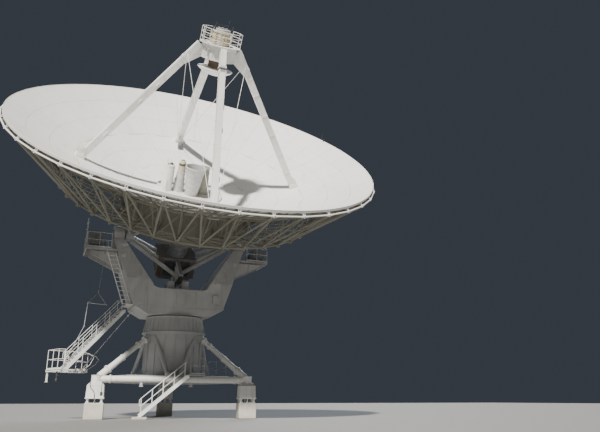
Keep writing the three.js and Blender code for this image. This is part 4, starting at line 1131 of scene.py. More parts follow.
@dataclass
class Yoke:
    """The forked yoke with its bearings and elevation drive."""

    bottom: float = 6.78
    floor: float = 8.6
    arm_bottom: float = 9.2
    arm_top: float = 12.0
    depth_low: float = 1.7
    depth_high: float = 0.8
    bore: float = 0.2585

    def outer(self, z: float) -> float:
        """Outer edge of an arm at a height."""
        return 3.05 + 0.3617 * (z - 7.25)

    def inner(self, z: float) -> float:
        """Inner edge of an arm at a height."""
        return 1.95 + 0.66 * (z - 8.9)

    def middle(self, z: float) -> float:
        """Middle of an arm at a height."""
        return (self.inner(z) + self.outer(z)) / 2

    def depth(self, z: float) -> float:
        """Half the yoke's depth at a height."""
        share = max(0, (z - self.floor) / (self.arm_top - self.floor))
        return self.depth_low + share * (self.depth_high - self.depth_low)

    def shell(self, m: Maker, outline: Profile) -> None:
        """A closed box of plates over an outline in X and Z."""
        front = [vec(x, -self.depth(z), z) for x, z in outline]
        back = [vec(x, self.depth(z), z) for x, z in outline]
        m.skin([front, back])

    def strip(self, m: Maker, line: Profile, width: float, proud: float) -> None:
        """A raised plate seam along the front and back faces."""
        for s in (-1, 1):
            for (xa, za), (xb, zb) in zip(line, line[1:]):
                a = vec(xa, s * (self.depth(za) + proud / 2), za)
                b = vec(xb, s * (self.depth(zb) + proud / 2), zb)
                m.bar(a, b, proud, width, ALONG, 0.003)

    def hatch(self, m: Maker, x: float, z: float, wide: float, tall: float, s: int) -> None:
        """A bolted cover on the front or back face."""
        y = s * (self.depth(z) + 0.008)
        m.box((x - wide / 2, y - 0.012, z - tall / 2), (x + wide / 2, y + 0.012, z + tall / 2), 0.006)
        for i in range(6):
            for dx in (-1, 1):
                m.bolt((x + dx * (wide / 2 - 0.03), y + s * 0.01, z - tall / 2 + 0.03 + (tall - 0.06) * i / 5),
                       (0, s, 0), 0.009)

    def cross_beam(self) -> None:
        """The bent box beam across the tower."""
        bend = [(1.45 + 0.5 * sin(radians(d)), self.floor + 0.3 * (1 - cos(radians(d)))) for d in range(90, -15, -15)]
        half = [(2.2, self.bottom), (3.05, 7.25), (self.outer(self.arm_bottom), self.arm_bottom),
                (self.inner(self.arm_bottom), self.arm_bottom), *bend]
        m = Maker(YOKE)
        self.shell(m, [*half, *[(-x, z) for x, z in reversed(half)]])
        m.lathe([(0, -0.0005), (1.93, -0.0005), (1.93, 0.05), (0, 0.05)], 64, z=self.bottom)
        trim = Maker(YOKE)
        for line in ([(-3, 7.27), (3, 7.27)], [(-1.55, 6.82), (-1.55, 8.62)], [(1.55, 6.82), (1.55, 8.62)]):
            self.strip(trim, line, 0.02, 0.012)
        for s in (-1, 1):
            self.hatch(trim, 0, 7.9, 0.6, 0.75, s)
            self.hatch(trim, 2.5 * s, 8.0, 0.45, 0.6, -s)
            for x in (-2.7, 2.7):
                trim.box((x - 0.2, s * 1.7 - 0.014, 7.45), (x + 0.2, s * 1.7 + 0.014, 7.55), 0.004)
            trim.box((s * 3.1 - 0.02, -1.62, 7.32), (s * 3.13 + 0.02, 1.62, 7.36), 0.004)
        m.build("yoke_cross_shell", [YOKE_SHADE_PAINT], Body.YOKE, "white_paint", ["yoke_cross_beam"], Edge.ROUND)
        trim.build("yoke_cross_seams_and_hatches", [YOKE_SHADE_PAINT], Body.YOKE, "white_paint")

    def arm(self, name: str, side: int) -> None:
        """One arm with its seams, hatches and bolts."""
        low = self.arm_bottom + 0.0003
        outline = [(self.inner(low), low), (self.outer(low), low), (self.outer(self.arm_top), self.arm_top),
                   (self.inner(self.arm_top), self.arm_top)]
        m = Maker(YOKE)
        self.shell(m, [(side * x, z) for x, z in outline])
        m.build(f"yoke_arm_shell_{name}", [YOKE_SHADE_PAINT], Body.YOKE, "white_paint", [f"yoke_arm_{name}"], Edge.ROUND)
        t = Maker(YOKE)
        for z in (9.24, 10.2, 11.2):
            self.strip(t, [(side * (self.inner(z) + 0.03), z), (side * (self.outer(z) - 0.03), z)], 0.022, 0.012)
        self.strip(t, [(side * self.middle(9.26), 9.26), (side * self.middle(11.9), 11.9)], 0.018, 0.01)
        for s in (-1, 1):
            self.hatch(t, side * self.middle(10.7) + side * 0.3, 10.7, 0.3, 0.42, s)
            for z in (9.7, 10.5, 11.5):
                for k in (0.15, 0.3):
                    t.bolt((side * (self.outer(z) - k), s * self.depth(z), z), (0, s, 0), 0.01)
        t.build(f"yoke_arm_seams_{name}", [YOKE_SHADE_PAINT], Body.YOKE, "white_paint")

    def bearing(self, name: str, side: int) -> None:
        """One pillow block with its bolted cap."""
        m = Maker(YOKE)
        x0, x1 = sorted((side * 4.01, side * 4.72))
        z, foot, steps = ELEVATION_Z, self.arm_top + 0.0005, 28
        arch = [(0.6 * cos(pi * i / steps), z + 0.6 * sin(pi * i / steps)) for i in range(steps + 1)]
        outer = [(0.68, foot), (0.68, z + 0.05), *arch, (-0.68, z + 0.05), (-0.68, foot), (-0.3, foot), (0, foot),
                 (0.3, foot)]
        turns = [atan2(v - z, u) for u, v in outer]
        hole = [(self.bore * cos(turn), z + self.bore * sin(turn)) for turn in turns]
        m.skin([[vec(x, u, v) for u, v in ring] for x, ring in ((x0, outer), (x1, outer), (x1, hole), (x0, hole))],
               True)
        for x, y in product((x0 + 0.17, x1 - 0.17), (-0.6368, 0.6368)):
            m.post((x, y), z - 0.02, z + 0.14, 0.03)
            m.bolt((x, y, z + 0.05), UP, 0.045)
        for x, s in ((x0, -1), (x1, 1)):
            m.bolts((x, 0, z), (s, 0, 0), 0.36, 12, 0.018)
        m.build(f"pillow_block_{name}", [GREY], Body.YOKE, "grey_paint", [f"elevation_bearing_{name}"])

    def drive(self) -> None:
        """The elevation drive: two gearboxes with motors on a bedplate."""
        m = Maker(Matrix.Translation(UP * (self.floor + 0.0005)) @ YOKE)
        for x, y, low, high, cut in ((0.8, 0.7, 0, 0.05, 0.01), (0.76, 0.66, 0.05, 0.19, 0.015),
                                     (0.8, 0.7, 0.17, 0.22, 0.01)):
            m.box((-x, -y, low), (x, y, high), cut)
        for x in (-0.51, 0.51):
            m.box((x - 0.25, -0.6, 0.22), (x + 0.25, 0.02, 0.76), 0.03)
            m.box((x - 0.22, -0.45, 0.3), (x + 0.22, -0.1, 0.72), 0.02)
            m.ink = 1
            fins = [(0.08 + i * 0.045, 0.094 + i * 0.045, 0.225) for i in range(9)]
            for low, high, radius in ((0.02, 0.52, 0.2), *fins, (0.52, 0.6, 0.17)):
                m.tube((x, low, 0.5), (x, high, 0.5), radius, 24)
            m.box((x - 0.08, 0.15, 0.68), (x + 0.08, 0.35, 0.76))
            m.ink = 0
            m.bolts((x, -0.6, 0.5), -ALONG, 0.17, 10, 0.014)
            for shift in (-0.2, 0.2):
                m.bolt((x + shift, -0.64, 0.21), UP, 0.025)
        m.build("elevation_gearboxes", [GREY, DARK], Body.YOKE, "grey_paint", ["elevation_drive"])

    def dress(self) -> None:
        """Builds the yoke's pieces."""
        self.cross_beam()
        for name, side in SIDES:
            self.arm(name, side)
            self.bearing(name, side)
        self.drive()


@dataclass
class Platforms:
    """The two side platforms of the yoke with their cabinets."""

    yoke: Yoke
    z: float = 11.0
    thick: float = 0.15
    reach: float = 6.55
    half: float = 1.25

    def platform(self, name: str, side: int) -> None:
        """One bracketed platform with grating, rails and, on the left, a mast."""
        m = Maker(YOKE)
        y, top, z, half = self.yoke, self.z + self.thick, self.z, self.half
        x0, x1 = sorted((side * (y.outer(top) + 0.004), side * self.reach))
        m.grating((x0 + 0.03, -half + 0.03, top - 0.035), (x1 - 0.03, half - 0.03, top))
        for line in (-half + 0.025, -0.45, 0.45, half - 0.025):
            m.section(channel(self.thick - 0.037, 0.05, 0.008), (x0, line, z + 0.056), (x1, line, z + 0.056))
        for x in (x0 + 0.025, x1 - 0.025, (x0 + x1) / 2):
            m.section(channel(self.thick, 0.05, 0.008), (x, -half, z + 0.075), (x, half, z + 0.075))
        for line in (-0.7, 0.7):
            shape = ((y.outer(9.8) + 0.002, 9.8), (6.2, z - 0.18), (6.2, z + 0.02), (y.outer(z) + 0.002, z + 0.02))
            a, b, c, d = (vec(side * x, line, height) for x, height in shape)
            m.plate([p - ALONG * 0.008 for p in (a, b, c, d)], ALONG * 0.016)
            for start, end, wide, deep, lead in (
                    (a + ACROSS * side * 0.03, b, 0.016, 0.12, UP), (b, c, 0.12, 0.016, ALONG),
                    (a + UP * 0.02, d - UP * 0.02, 0.12, 0.02, ALONG), ((a + b) / 2, (c + d) / 2, 0.012, 0.1, ACROSS)):
                m.bar(start, end, wide, deep, lead)
        edge, end = half - 0.04, self.reach - 0.04
        plan = ((4.9, -edge), (5.7, -edge), (end, -edge), (end, 0), (end, edge), (5.7, edge), (4.9, edge))
        m.railing([(side * px, py, top) for px, py in plan])
        if side < 0:
            x = side * end
            m.post((x, 0), top, 13.45, 0.03)
            m.post((x, 0), top, top + 1.2, 0.038)
            for level, reach in ((12.7, 0.35), (13.1, 0.25)):
                m.tube((x, -reach, level), (x, reach, level), 0.014, 8)
                for s in (-reach, reach):
                    m.lathe([(0, -0.01), (0.05, 0.01), (0.055, 0.08), (0, 0.1)], 12, x, s, z=level)
        m.build(f"side_platform_{name}", [YOKE_SHADE_PAINT], Body.YOKE, "white_paint", [f"platform_{name}"])

    def cabinet(self, m: Maker, low: Point, high: Point, side: int) -> None:
        """One cabinet with doors, a roof, louvres, handles and a plinth."""
        lo, hi = at(low), at(high)
        m.box((lo.x, lo.y, lo.z + 0.06), (hi.x, hi.y, hi.z - 0.03), 0.012)
        m.box((lo.x + 0.03, lo.y + 0.03, lo.z), (hi.x - 0.03, hi.y - 0.03, lo.z + 0.06))
        m.box((lo.x, lo.y, hi.z - 0.026), hi, 0.008)
        mid = (lo.z + hi.z) / 2
        for s, y in ((-1, lo.y), (1, hi.y)):
            for a, b in self.leaves(lo.x, hi.x, 0.45):
                m.box((a, y - 0.008, lo.z + 0.1), (b, y + 0.008, hi.z - 0.07), 0.004)
                m.ink = 1
                m.box((b - 0.05, y + s * 0.006, mid - 0.07), (b - 0.03, y + s * 0.028, mid + 0.07), 0.004)
                for z in (lo.z + 0.18 + k * 0.03 for k in range(5)):
                    m.bar((a + 0.06, y + s * 0.011, z), (b - 0.06, y + s * 0.011, z), 0.014, 0.008)
                m.ink = 0
        x = lo.x if side < 0 else hi.x
        for a, b in self.leaves(lo.y, hi.y, 0.5):
            m.box((x - 0.008, a, lo.z + 0.1), (x + 0.008, b, hi.z - 0.07), 0.004)
            m.ink = 1
            for z in (hi.z - 0.14 - k * 0.03 for k in range(5)):
                m.bar((x + side * 0.011, a + 0.06, z), (x + side * 0.011, b - 0.06, z), 0.014, 0.008)
            m.ink = 0

    @staticmethod
    def leaves(low: float, high: float, wide: float) -> list[Pair]:
        """Where the doors of a face of a cabinet start and end."""
        count = max(1, round((high - low) / wide))
        step = (high - low - 0.06) / count
        return [(low + 0.04 + step * i, low + 0.02 + step * (i + 1)) for i in range(count)]

    def cabinets(self, name: str, side: int) -> None:
        """The cabinets of one platform with the conduits between them."""
        m = Maker(YOKE)
        z = self.z + self.thick + 0.0005
        height = 0.95 if side > 0 else 1.25
        for x0, x1, y0, y1, share in ((5.45, 6.38, -0.9, -0.16, 1), (5.7, 6.38, -0.15, 0.48, 0.7),
                                      (5.5, 6.3, 0.49, 1, 0.85)):
            a, b = sorted((side * x0, side * x1))
            self.cabinet(m, (a, y0, z), (b, y1, z + height * share), side)
        m.ink = 1
        top = height * 0.7
        for k in range(3):
            x, y = 5.42 - 0.04 * k, k * 0.1
            line = ((x, -0.6, 0.7), (5.3, -0.6, 0.66), (5.25, -0.55, 0.2), (5, -0.5, 0.05), (4.75, -0.4, 0.04))
            m.path([(side * px, py + y, z + pz) for px, py, pz in line], 0.018)
        line = ((-0.14, 0.5), (-0.1, top + 0.12), (0.4, top + 0.14), (0.5, top))
        m.path([(side * 6, py, z + pz) for py, pz in line], 0.02)
        m.build(f"control_cabinets_{name}", [CABINET, DARK], Body.YOKE, "dark_steel", [f"cabinets_{name}"])

    def dress(self) -> None:
        """Builds both sides."""
        for name, side in SIDES:
            self.platform(name, side)
            self.cabinets(name, side)


@dataclass
class HangingAccess:
    """Ladder on the left arm, and the stair and landing that hang below it."""

    yoke: Yoke
    top: tuple[float, float] = (-3.74, 7.02)
    low_x: float = -7.4
    deck_z: float = 3.0
    end_x: float = -8.0

    def beside(self, offset: float, z: float, y: float = -0.88) -> Vector:
        """A point beside the left arm's outer edge."""
        return vec(-(self.yoke.outer(z) + offset), y, z)

    def ladder(self) -> None:
        """The arm's ladder with its corner platform and cables."""
        m = Maker(YOKE)
        spot = self.beside
        for offset in (0.15, 0.7):
            m.bar(spot(offset, 7.45), spot(offset, 10.995), 0.09, 0.05, ALONG)
            m.tube(spot(offset, 7.48), (-3.44, -0.88, 7.43), 0.024, 8)
        for z in (7.75 + 0.3 * i for i in range(11)):
            m.tube(spot(0.15, z), spot(0.7, z), 0.016, 8)
        for z in (8.34, 9.74, 10.7):
            m.bar(spot(0.001, z), spot(0.17, z), 0.1, 0.02, ALONG)
            m.bolt(spot(0.02, z, -0.81), (-1, 0, 0.36), 0.014)
        wall = spot(0.004, 7.45).x
        plan = [(wall, -1.05), (-3.5, -1.05), (-3.5, -0.441), (-3.739, 0.217), (-3.3, 0.65), (wall, 0.65)]
        m.plate([(*p, 7.448) for p in plan], UP * 0.012)
        for a, b in zip(plan, plan[1:]):
            m.bar((*a, 7.43), (*b, 7.43), 0.058, 0.03)
        for y in (-0.8, -0.5, -0.2, 0.1):
            m.bar((wall, y, 7.436), (-3.5 - max(0, y + 0.44) * 0.364, y, 7.436), 0.03, 0.02)
        m.ink = 1
        for k in range(4):
            m.path([spot(0.03, z, 0.05 * k - 0.35) for z in (7.5, 8.6, 9.7, 10.8)], 0.014)
        m.ink = 0
        for z in (7.9, 8.9, 9.9, 10.85):
            m.bar(spot(0.02, z, -0.42), spot(0.02, z, -0.13), 0.03, 0.05)
        m.build("arm_ladder_and_cables", [BRIGHT, GREY], Body.YOKE, "white_paint", ["arm_ladder"])

    def stair(self) -> None:
        """The long stair that hangs from the yoke's corner."""
        m = Maker(HUNG)
        Flight(self.top, (self.low_x, self.deck_z + 0.06), (-0.38, 0.32), 17, floor=self.deck_z + 0.0005,
               end=-3.6457).into(m)
        m.build("hanging_flight", [BRIGHT, ZINC], Body.YOKE, "white_paint", ["hanging_stair"])

    def landing(self) -> None:
        """The landing under the hanging stair."""
        m = Maker(HUNG @ Matrix.Translation(UP * self.deck_z))
        x0, x1 = self.end_x, self.low_x + 0.15
        m.ink = 1
        m.grating((x0 + 0.04, -0.42, -0.035), (x1 - 0.01, 1.27, 0), 0.07)
        m.grating((x1 - 0.01, 0.45, -0.035), (-5.63, 1.27, 0), 0.07)
        m.ink = 0
        outline = [(x0, -0.45), (x1, -0.45), (x1, 0.42), (-5.6, 0.42), (-5.6, 1.3), (x0, 1.3)]
        for a, b in zip(outline, outline[1:] + outline[:1]):
            m.section(channel(0.12, 0.05, 0.008), (*a, -0.06), (*b, -0.06))
        for x in (-7.7, -6.7, -6.1):
            m.bar((x, 0.44 if x > x1 else -0.43, -0.075), (x, 1.28, -0.075), 0.07, 0.04)
        x = x0 + 0.04
        line = ((self.low_x - 0.15, -0.42), (x, -0.42), (x, 0.42), (x, 1.26), (-6.8, 1.26), (-5.65, 1.26))
        m.railing([(*p, 0) for p in line], 1.25)
        m.railing([(self.low_x + 1, 0.46, 0), (-5.65, 0.46, 0)])
        for y, reach in ((1.26, 1.25), (0.46, 1.07)):
            m.path([(-5.65, y, reach), (-5.15, y, reach - 0.1), (-4.85, y, reach - 0.32), (-5.1, y, 0.42),
                    (-5.63, y, 0.05)], 0.018)
        m.box((-7.97, 1.13, -0.74), (-7.87, 1.23, -0.06))
        m.bar((-7.92, 1.18, -0.74), (-7.92, 1.18, -0.725), 0.2, 0.2, UP, 0.02)
        m.ink = 2
        m.post((-7.905, -0.305), -0.66, -0.06, 0.045, 12)
        m.lathe([(0.05, -0.74), (0.075, -0.72), (0.075, -0.6), (0.05, -0.58)], 14, -7.905, -0.305)
        m.path([(-7.905, -0.305, -0.5), (-7.8, -0.3, -0.34), (-7.72, -0.2, -0.16), (-7.6, 0, -0.14)], 0.02)
        m.build("hanging_landing_deck", [BRIGHT, ZINC, RUBBER], Body.YOKE, "white_paint", ["hanging_landing"])

    def ties(self) -> None:
        """The tie rod, and the cable, spreader and drop rods that carry the landing."""
        m = Maker(YOKE)
        base = YOKE.inverted() @ HUNG @ vec(-5.7, 0.9, self.deck_z)
        start, end = vec(-2.9, 0.9, 7.22), base + UP * 0.22
        way = (end - start).normalized()
        for a, b, radius in (
                (start + way * 0.07, end, 0.022), (start + way * 0.06, start + way * 0.3, 0.034),
                (end - way * 0.3, end, 0.032), (base + UP * 0.25, base + UP * 0.0005, 0.03)):
            m.tube(a, b, radius)
        for reach, r in ((0.42, 0.075), (1.6, 0.05)):
            ball = start + way * reach
            m.lathe([(0, -r), (r * 0.75, -r * 0.65), (r, 0), (r * 0.75, r * 0.65), (0, r)], 14, ball.x, ball.y,
                    z=ball.z)
        m.box(base + vec(-0.06, -0.05, 0.0005), base + vec(0.06, 0.05, 0.03), 0.006)
        m.build("landing_tie_rod", [BRIGHT], Body.YOKE, "white_paint", ["tie_rod"])
        m, low = Maker(HUNG @ Matrix.Translation(ALONG * -0.5)), self.deck_z
        for a, b, radius, sides in (
                ((-5.55, 0, 10.99), (-5.8, 0, 8), 0.012, 8), ((-5.55, 0, 10.99), (-5.57, 0, 10.75), 0.03, 10),
                ((-5.782, 0, 8.22), (-5.8, 0, 7.98), 0.03, 10), ((-6.49, 0, 7.3), (-5.11, 0, 7.3), 0.03, 10),
                ((-6.48, 0, 7.3), (-6.42, 0, 7.3), 0.045, 12), ((-5.18, 0, 7.3), (-5.12, 0, 7.3), 0.045, 12),
                ((-6.45, 0, 7.3), (-6.55, 0, 5.75), 0.022, 8), ((-6.55, -0.05, 5.75), (-6.55, 0.05, 5.75), 0.045, 12)):
            m.tube(a, b, radius, sides)
        m.path([(-6.45, 0, 7.32), (-5.8, 0, 8), (-5.15, 0, 7.32)], 0.014)
        m.path([(-6.55, 0, 5.8), (-6.55, 0, 5.75), (-7.75, 0, low + 0.05), (-7.75, 0, low - 0.06)], 0.022)
        m.box((-7.79, -0.04, low - 0.09), (-7.71, 0.0495, low + 0.01), 0.006)
        m.build("hoist_cable_and_spreader", [ZINC], Body.YOKE, "galvanised", ["hoist_bridle"])

    def dress(self) -> None:
        """Builds the access pieces."""
        self.ladder()
        self.stair()
        self.landing()
        self.ties()


def surface(radius: float) -> float:
    """Height of the reflecting surface over the elevation axis."""
    return VERTEX_Z + radius * radius / FOUR_FOCAL


def polar(radius: float, degrees: float, z: float) -> Vector:
    """A point from its radius, its angle about the dish axis and its height."""
    angle = radians(degrees)
    return vec(radius * cos(angle), radius * sin(angle), z)


@dataclass
class Reflector:
    """The panelled bowl with its edge flange and the ribs behind the panels."""

    radii: tuple[float, ...] = (2.28, 4.35, 6.3, 8.05, 9.65, 11.12, 12.47)
    counts: tuple[int, ...] = (12, 20, 20, 40, 40, 40)
    gap: float = 0.014
    skin: float = 0.035
    fold: float = 0.004
    rows: int = 4

    def panel(self, m: Maker, r0: float, r1: float, a0: float, a1: float) -> None:
        """One curved panel with its folded edges."""
        cut = 180 / pi * self.gap / (r0 + r1)
        b0, b1, s0, s1 = a0 + cut, a1 - cut, r0 + self.gap / 2, r1 - self.gap / 2
        across, rows = max(3, round((a1 - a0) / 3.0)), self.rows
        grid = []
        for lift, i, j in product((0, -self.skin), range(rows + 1), range(across + 1)):
            r = s0 + (s1 - s0) * i / rows
            fold = self.fold if i in (0, rows) or j in (0, across) else 0
            grid.append(polar(r, b0 + (b1 - b0) * j / across, surface(r) + lift - fold))
        width = across + 1
        layer = (rows + 1) * width
        faces = []
        for a in (i * width + j for i in range(rows) for j in range(across)):
            faces.append((a, a + 1, a + width + 1, a + width))
            faces.append((layer + a, layer + a + width, layer + a + width + 1, layer + a + 1))
        edge = [i * width for i in range(rows + 1)]
        edge += [rows * width + j for j in range(1, width)]
        edge += [i * width + across for i in range(rows - 1, -1, -1)]
        edge += list(range(across - 1, 0, -1))
        faces += [(a, b, layer + b, layer + a) for a, b in zip(edge, edge[1:] + edge[:1])]
        m.add(grid, faces)

    def behind(self, radius: float, degrees: float) -> Vector:
        """A point just behind the panels."""
        return polar(radius, degrees, surface(radius) - 0.06)

    def back_ribs(self, m: Maker, r0: float, r1: float, a0: float, a1: float) -> None:
        """The pressed ribs on the back of one panel."""
        ends = [(r0 + 0.03, a0 + (a1 - a0) * share, r1 - 0.03, a0 + (a1 - a0) * share)
                for share in (0.03, 0.35, 0.65, 0.97)]
        ends += [(radius, a0 + 0.2, radius, a1 - 0.2) for radius in (r0 + 0.05, r1 - 0.05)]
        for ra, a, rb, b in ends:
            m.bar(self.behind(ra, a), self.behind(rb, b), 0.06, 0.03, UP, 0.004)

    def dress(self) -> None:
        """Builds all panels with the edge flange, and the ribs behind them."""
        m, b = Maker(DISH), Maker(DISH)
        for ring, count in enumerate(self.counts):
            step = 360.0 / count
            for i in range(count):
                place = (self.radii[ring], self.radii[ring + 1], i * step, (i + 1) * step)
                m.tone = 0.5 + 0.5 * noise.noise(vec(ring * 3.7, i * 1.9, 0.3))
                self.panel(m, *place)
                self.back_ribs(b, *place)
        m.tone = 0.8
        m.lathe([(12.47, -0.03), (12.48, 0), (12.5, -0.004), (12.5, -0.155), (12.49, -0.16), (12.44, -0.16),
                 (12.44, -0.145), (12.48, -0.14), (12.48, -0.04)], 160, closed=True, z=surface(RIM))
        low, high = surface(1.2), surface(2.3)
        m.lathe([(0.5, low - 0.1), (2.3, high - 0.03), (2.3, high - 0.06), (0.5, low - 0.12)], 60)
        m.build("panelled_bowl", [PANELS], Body.DISH, "panel_white", ["reflector"])
        # The ribs behind the panels take the truss paint, darkened as painted shade.
        b.build("panel_back_ribs", [TRUSS_SHADE], Body.DISH, "grey_paint")


@dataclass
class BackingTruss:
    """The trusswork behind the bowl, in four quarters."""

    rim_radius: float = 12.625
    rim_drop: float = 0.33
    outer: tuple[float, float] = (8.8, 3.9)
    inner: tuple[float, float] = (4.6, 2.45)
    hub: tuple[float, float, float] = (4.585, 4.625, 1.7)
    nodes: int = 40
    chord: float = 0.056
    web: float = 0.032
    below: float = 0.2

    def pipe(self, degrees: float) -> Vector:
        """A point on the rim pipe."""
        return polar(self.rim_radius, degrees, surface(RIM) - self.rim_drop)

    def node(self, degrees: float) -> Vector:
        """A node of the outer ring behind the bowl."""
        return polar(self.outer[0], degrees, self.outer[1])

    def heart(self, degrees: float) -> Vector:
        """A node of the inner ring behind the bowl."""
        return polar(self.inner[0], degrees, self.inner[1])

    def top_chord(self, radius: float, degrees: float) -> Vector:
        """A node of a rib's upper chord, just under the panels."""
        return polar(radius, degrees, surface(radius) - self.below)

    def rib(self, m: Maker, degrees: float, main: bool) -> None:
        """One radial rib: chords, posts and diagonals."""
        tops = [self.top_chord(r, degrees) for r in (1.72, 3.2, 4.6, 6.7, 8.8, 10.6, 12.42)]
        for a, b in zip(tops, tops[1:]):
            m.bar(a, b, 0.09, 0.06, UP, 0.006)
        outer, inner = (polar(radius, degrees, z) for radius, z in (self.outer, self.inner))
        for end, scale in ((4, 1.25), (5, 1), (3, 1)):
            m.tube(outer, tops[end], self.web * scale, 6)
        if main:
            for end, scale in ((2, 1.3), (3, 1), (1, 1)):
                m.tube(inner, tops[end], self.web * scale, 6)
            m.tube(inner, polar(1.74, degrees, 1.3), self.chord * 1.1, 8)
            m.tube(inner, polar(1.74, degrees, 3.1), self.web * 1.2, 6)

    def gusset(self, m: Maker, spot: Vector, degrees: float, size: float) -> None:
        """A node plate in the plane of a rib."""
        shape = ((-1, -0.25), (-0.55, 0.8), (0.55, 0.8), (1, -0.1), (0.5, -0.6), (-0.5, -0.6))
        m.fin(polar(1, degrees, 0), 0.008, [(x * size, z * size) for x, z in shape], spot)

    def bay(self, m: Maker, index: int) -> None:
        """The bars of one of the 40 bays of the rim."""
        step = 360.0 / self.nodes
        rim, low = index * step, (index + 0.5) * step
        main = index % 2 == 0
        pipe, node, heart, top = self.pipe, self.node, self.heart, self.top_chord
        half = UP * 0.075
        # The rim pipe and its stubs keep the bright white paint; the rest of the bay takes the truss paint, darkened as
        # painted shade.
        m.ink = 1
        for a, b, radius, sides in (
                (pipe(rim), pipe(rim + step), 0.05, 12), (pipe(rim) - half, pipe(rim) + half, 0.066, 14),
                (pipe(rim + 0.45), pipe(rim + 0.8), 0.062, 12),
                (pipe(rim + step - 0.8), pipe(rim + step - 0.45), 0.062, 12),
                (pipe(rim - 0.28), polar(12.47, rim - 0.28, surface(RIM) - 0.15), 0.016, 8),
                (pipe(rim + 0.28), polar(12.47, rim + 0.28, surface(RIM) - 0.15), 0.016, 8),
                (pipe(rim), polar(12.3, rim, surface(12.3) - 0.12), 0.02, 8)):
            m.tube(a, b, radius, sides)
        m.ink = 0
        m.tube(node(low), node(low + step), self.chord * 1.15, 10)
        for a in (pipe(rim), pipe(rim + step)):
            m.tube(a, node(low), self.chord, 10)
            way = (node(low) - a).normalized()
            m.tube(a + way * 0.12, a + way * 0.5, self.chord * 1.25, 10)
            m.tube(node(low) - way * 0.55, node(low) - way * 0.15, self.chord * 1.25, 10)
            m.tube(top(10.6, low), a, self.web, 6)
        self.gusset(m, node(low), low, 0.26)
        self.rib(m, low, main)
        near = (2 * (index // 2) + 0.5) * step
        m.tube(node(low), heart(near), self.chord * 1.1, 8)
        if not main:
            m.tube(node(low), heart(near + 2 * step), self.chord * 0.9, 8)
        for a, b, scale in ((top(8.8, low), top(10.6, low + step), 0.8), (top(6.7, low), top(8.8, low + step), 0.8),
                            (node(low), top(8.8, low + step), 0.9)):
            m.tube(a, b, self.web * scale, 6)
        for radius in (4.6, 6.7, 8.8, 10.6, 12.2):
            m.bar(top(radius, low), top(radius, low + step), 0.07, 0.05, UP, 0.005)
        if main:
            m.tube(heart(low), heart(low + 2 * step), self.chord * 1.2, 10)
            m.tube(heart(low), top(4.6, low + 2 * step), self.web, 6)
            self.gusset(m, heart(low), low, 0.24)
            m.tube(top(3.2, low), top(3.2, low + 2 * step), self.web, 6)

    def wall(self, m: Maker, index: int) -> None:
        """Half a flat of the plated hub wall, with its flange, seams and stiffeners."""
        step = 360.0 / self.nodes
        inside, outside, low = self.hub
        top = surface(outside) - 0.086
        ends = [((index + k) * step, 1 if (index + k) % 2 else cos(radians(step))) for k in (0, 1)]
        # The hub wall takes the hub paint, darkened to near black as painted shade.
        m.ink = 2
        for r0, r1, z0, z1 in (
                (inside, outside - 0.004, low, top), (inside - 0.05, outside + 0.05, low, low + 0.022),
                (outside - 0.01, outside + 0.006, low + 0.3, low + 0.34), (outside - 0.01, outside + 0.004, 3.3, 3.34),
                (inside - 0.06, inside + 0.01, 3.3, 3.32)):
            corners = ((r0, z0), (r1, z0), (r1, z1), (r0, z1))
            m.skin([[polar(r * share, angle, z) for r, z in corners] for angle, share in ends])
        (first, start), (_, end) = ends

        def upright(mix: float, proud: float, z0: float, z1: float, wide: float, deep: float, cut: float,
                    turn: float = 0) -> None:
            """An upright bar on the outside of the wall, at a share of its width."""
            angle = first + step * mix
            r = outside * (start * (1 - mix) + end * mix) + proud
            m.bar(polar(r, angle + turn, z0), polar(r, angle + turn, z1), wide, deep, polar(1, angle, 0), cut)

        for mix in (1 / 6, 1 / 2, 5 / 6):
            upright(mix, 0.01, low + 0.02, 3.9, 0.01, 0.05, 0.002)
            r = outside * (start * (1 - mix) + end * mix)
            m.bolt(polar(r + 0.025, first + step * mix + 0.4, low + 0.022), UP, 0.014)
        if index % 2 == 0:
            m.bar(polar(outside - 0.05, first, low + 0.02), polar(outside - 0.05, first, top), 0.05, 0.012,
                  polar(1, first, 0), 0.002)
        if index % 5 == 1:
            upright(0.45, 0.004, 2.62, 3.24, 0.44, 0.02, 0.008)
            upright(0.45, 0.016, 2.9, 3.0, 0.02, 0.03, 0.004, 2.2)
        m.ink = 0

    def dress(self) -> None:
        """Builds the four quarters."""
        for quarter in range(4):
            m = Maker(DISH)
            for index in range(quarter * 10, quarter * 10 + 10):
                self.bay(m, index)
                self.wall(m, index)
            m.build(f"backing_truss_{quarter + 1}", [TRUSS_SHADE, BRIGHT, HUB_SHADE], Body.DISH, "grey_paint",
                    [f"truss_quarter_{quarter + 1}"])


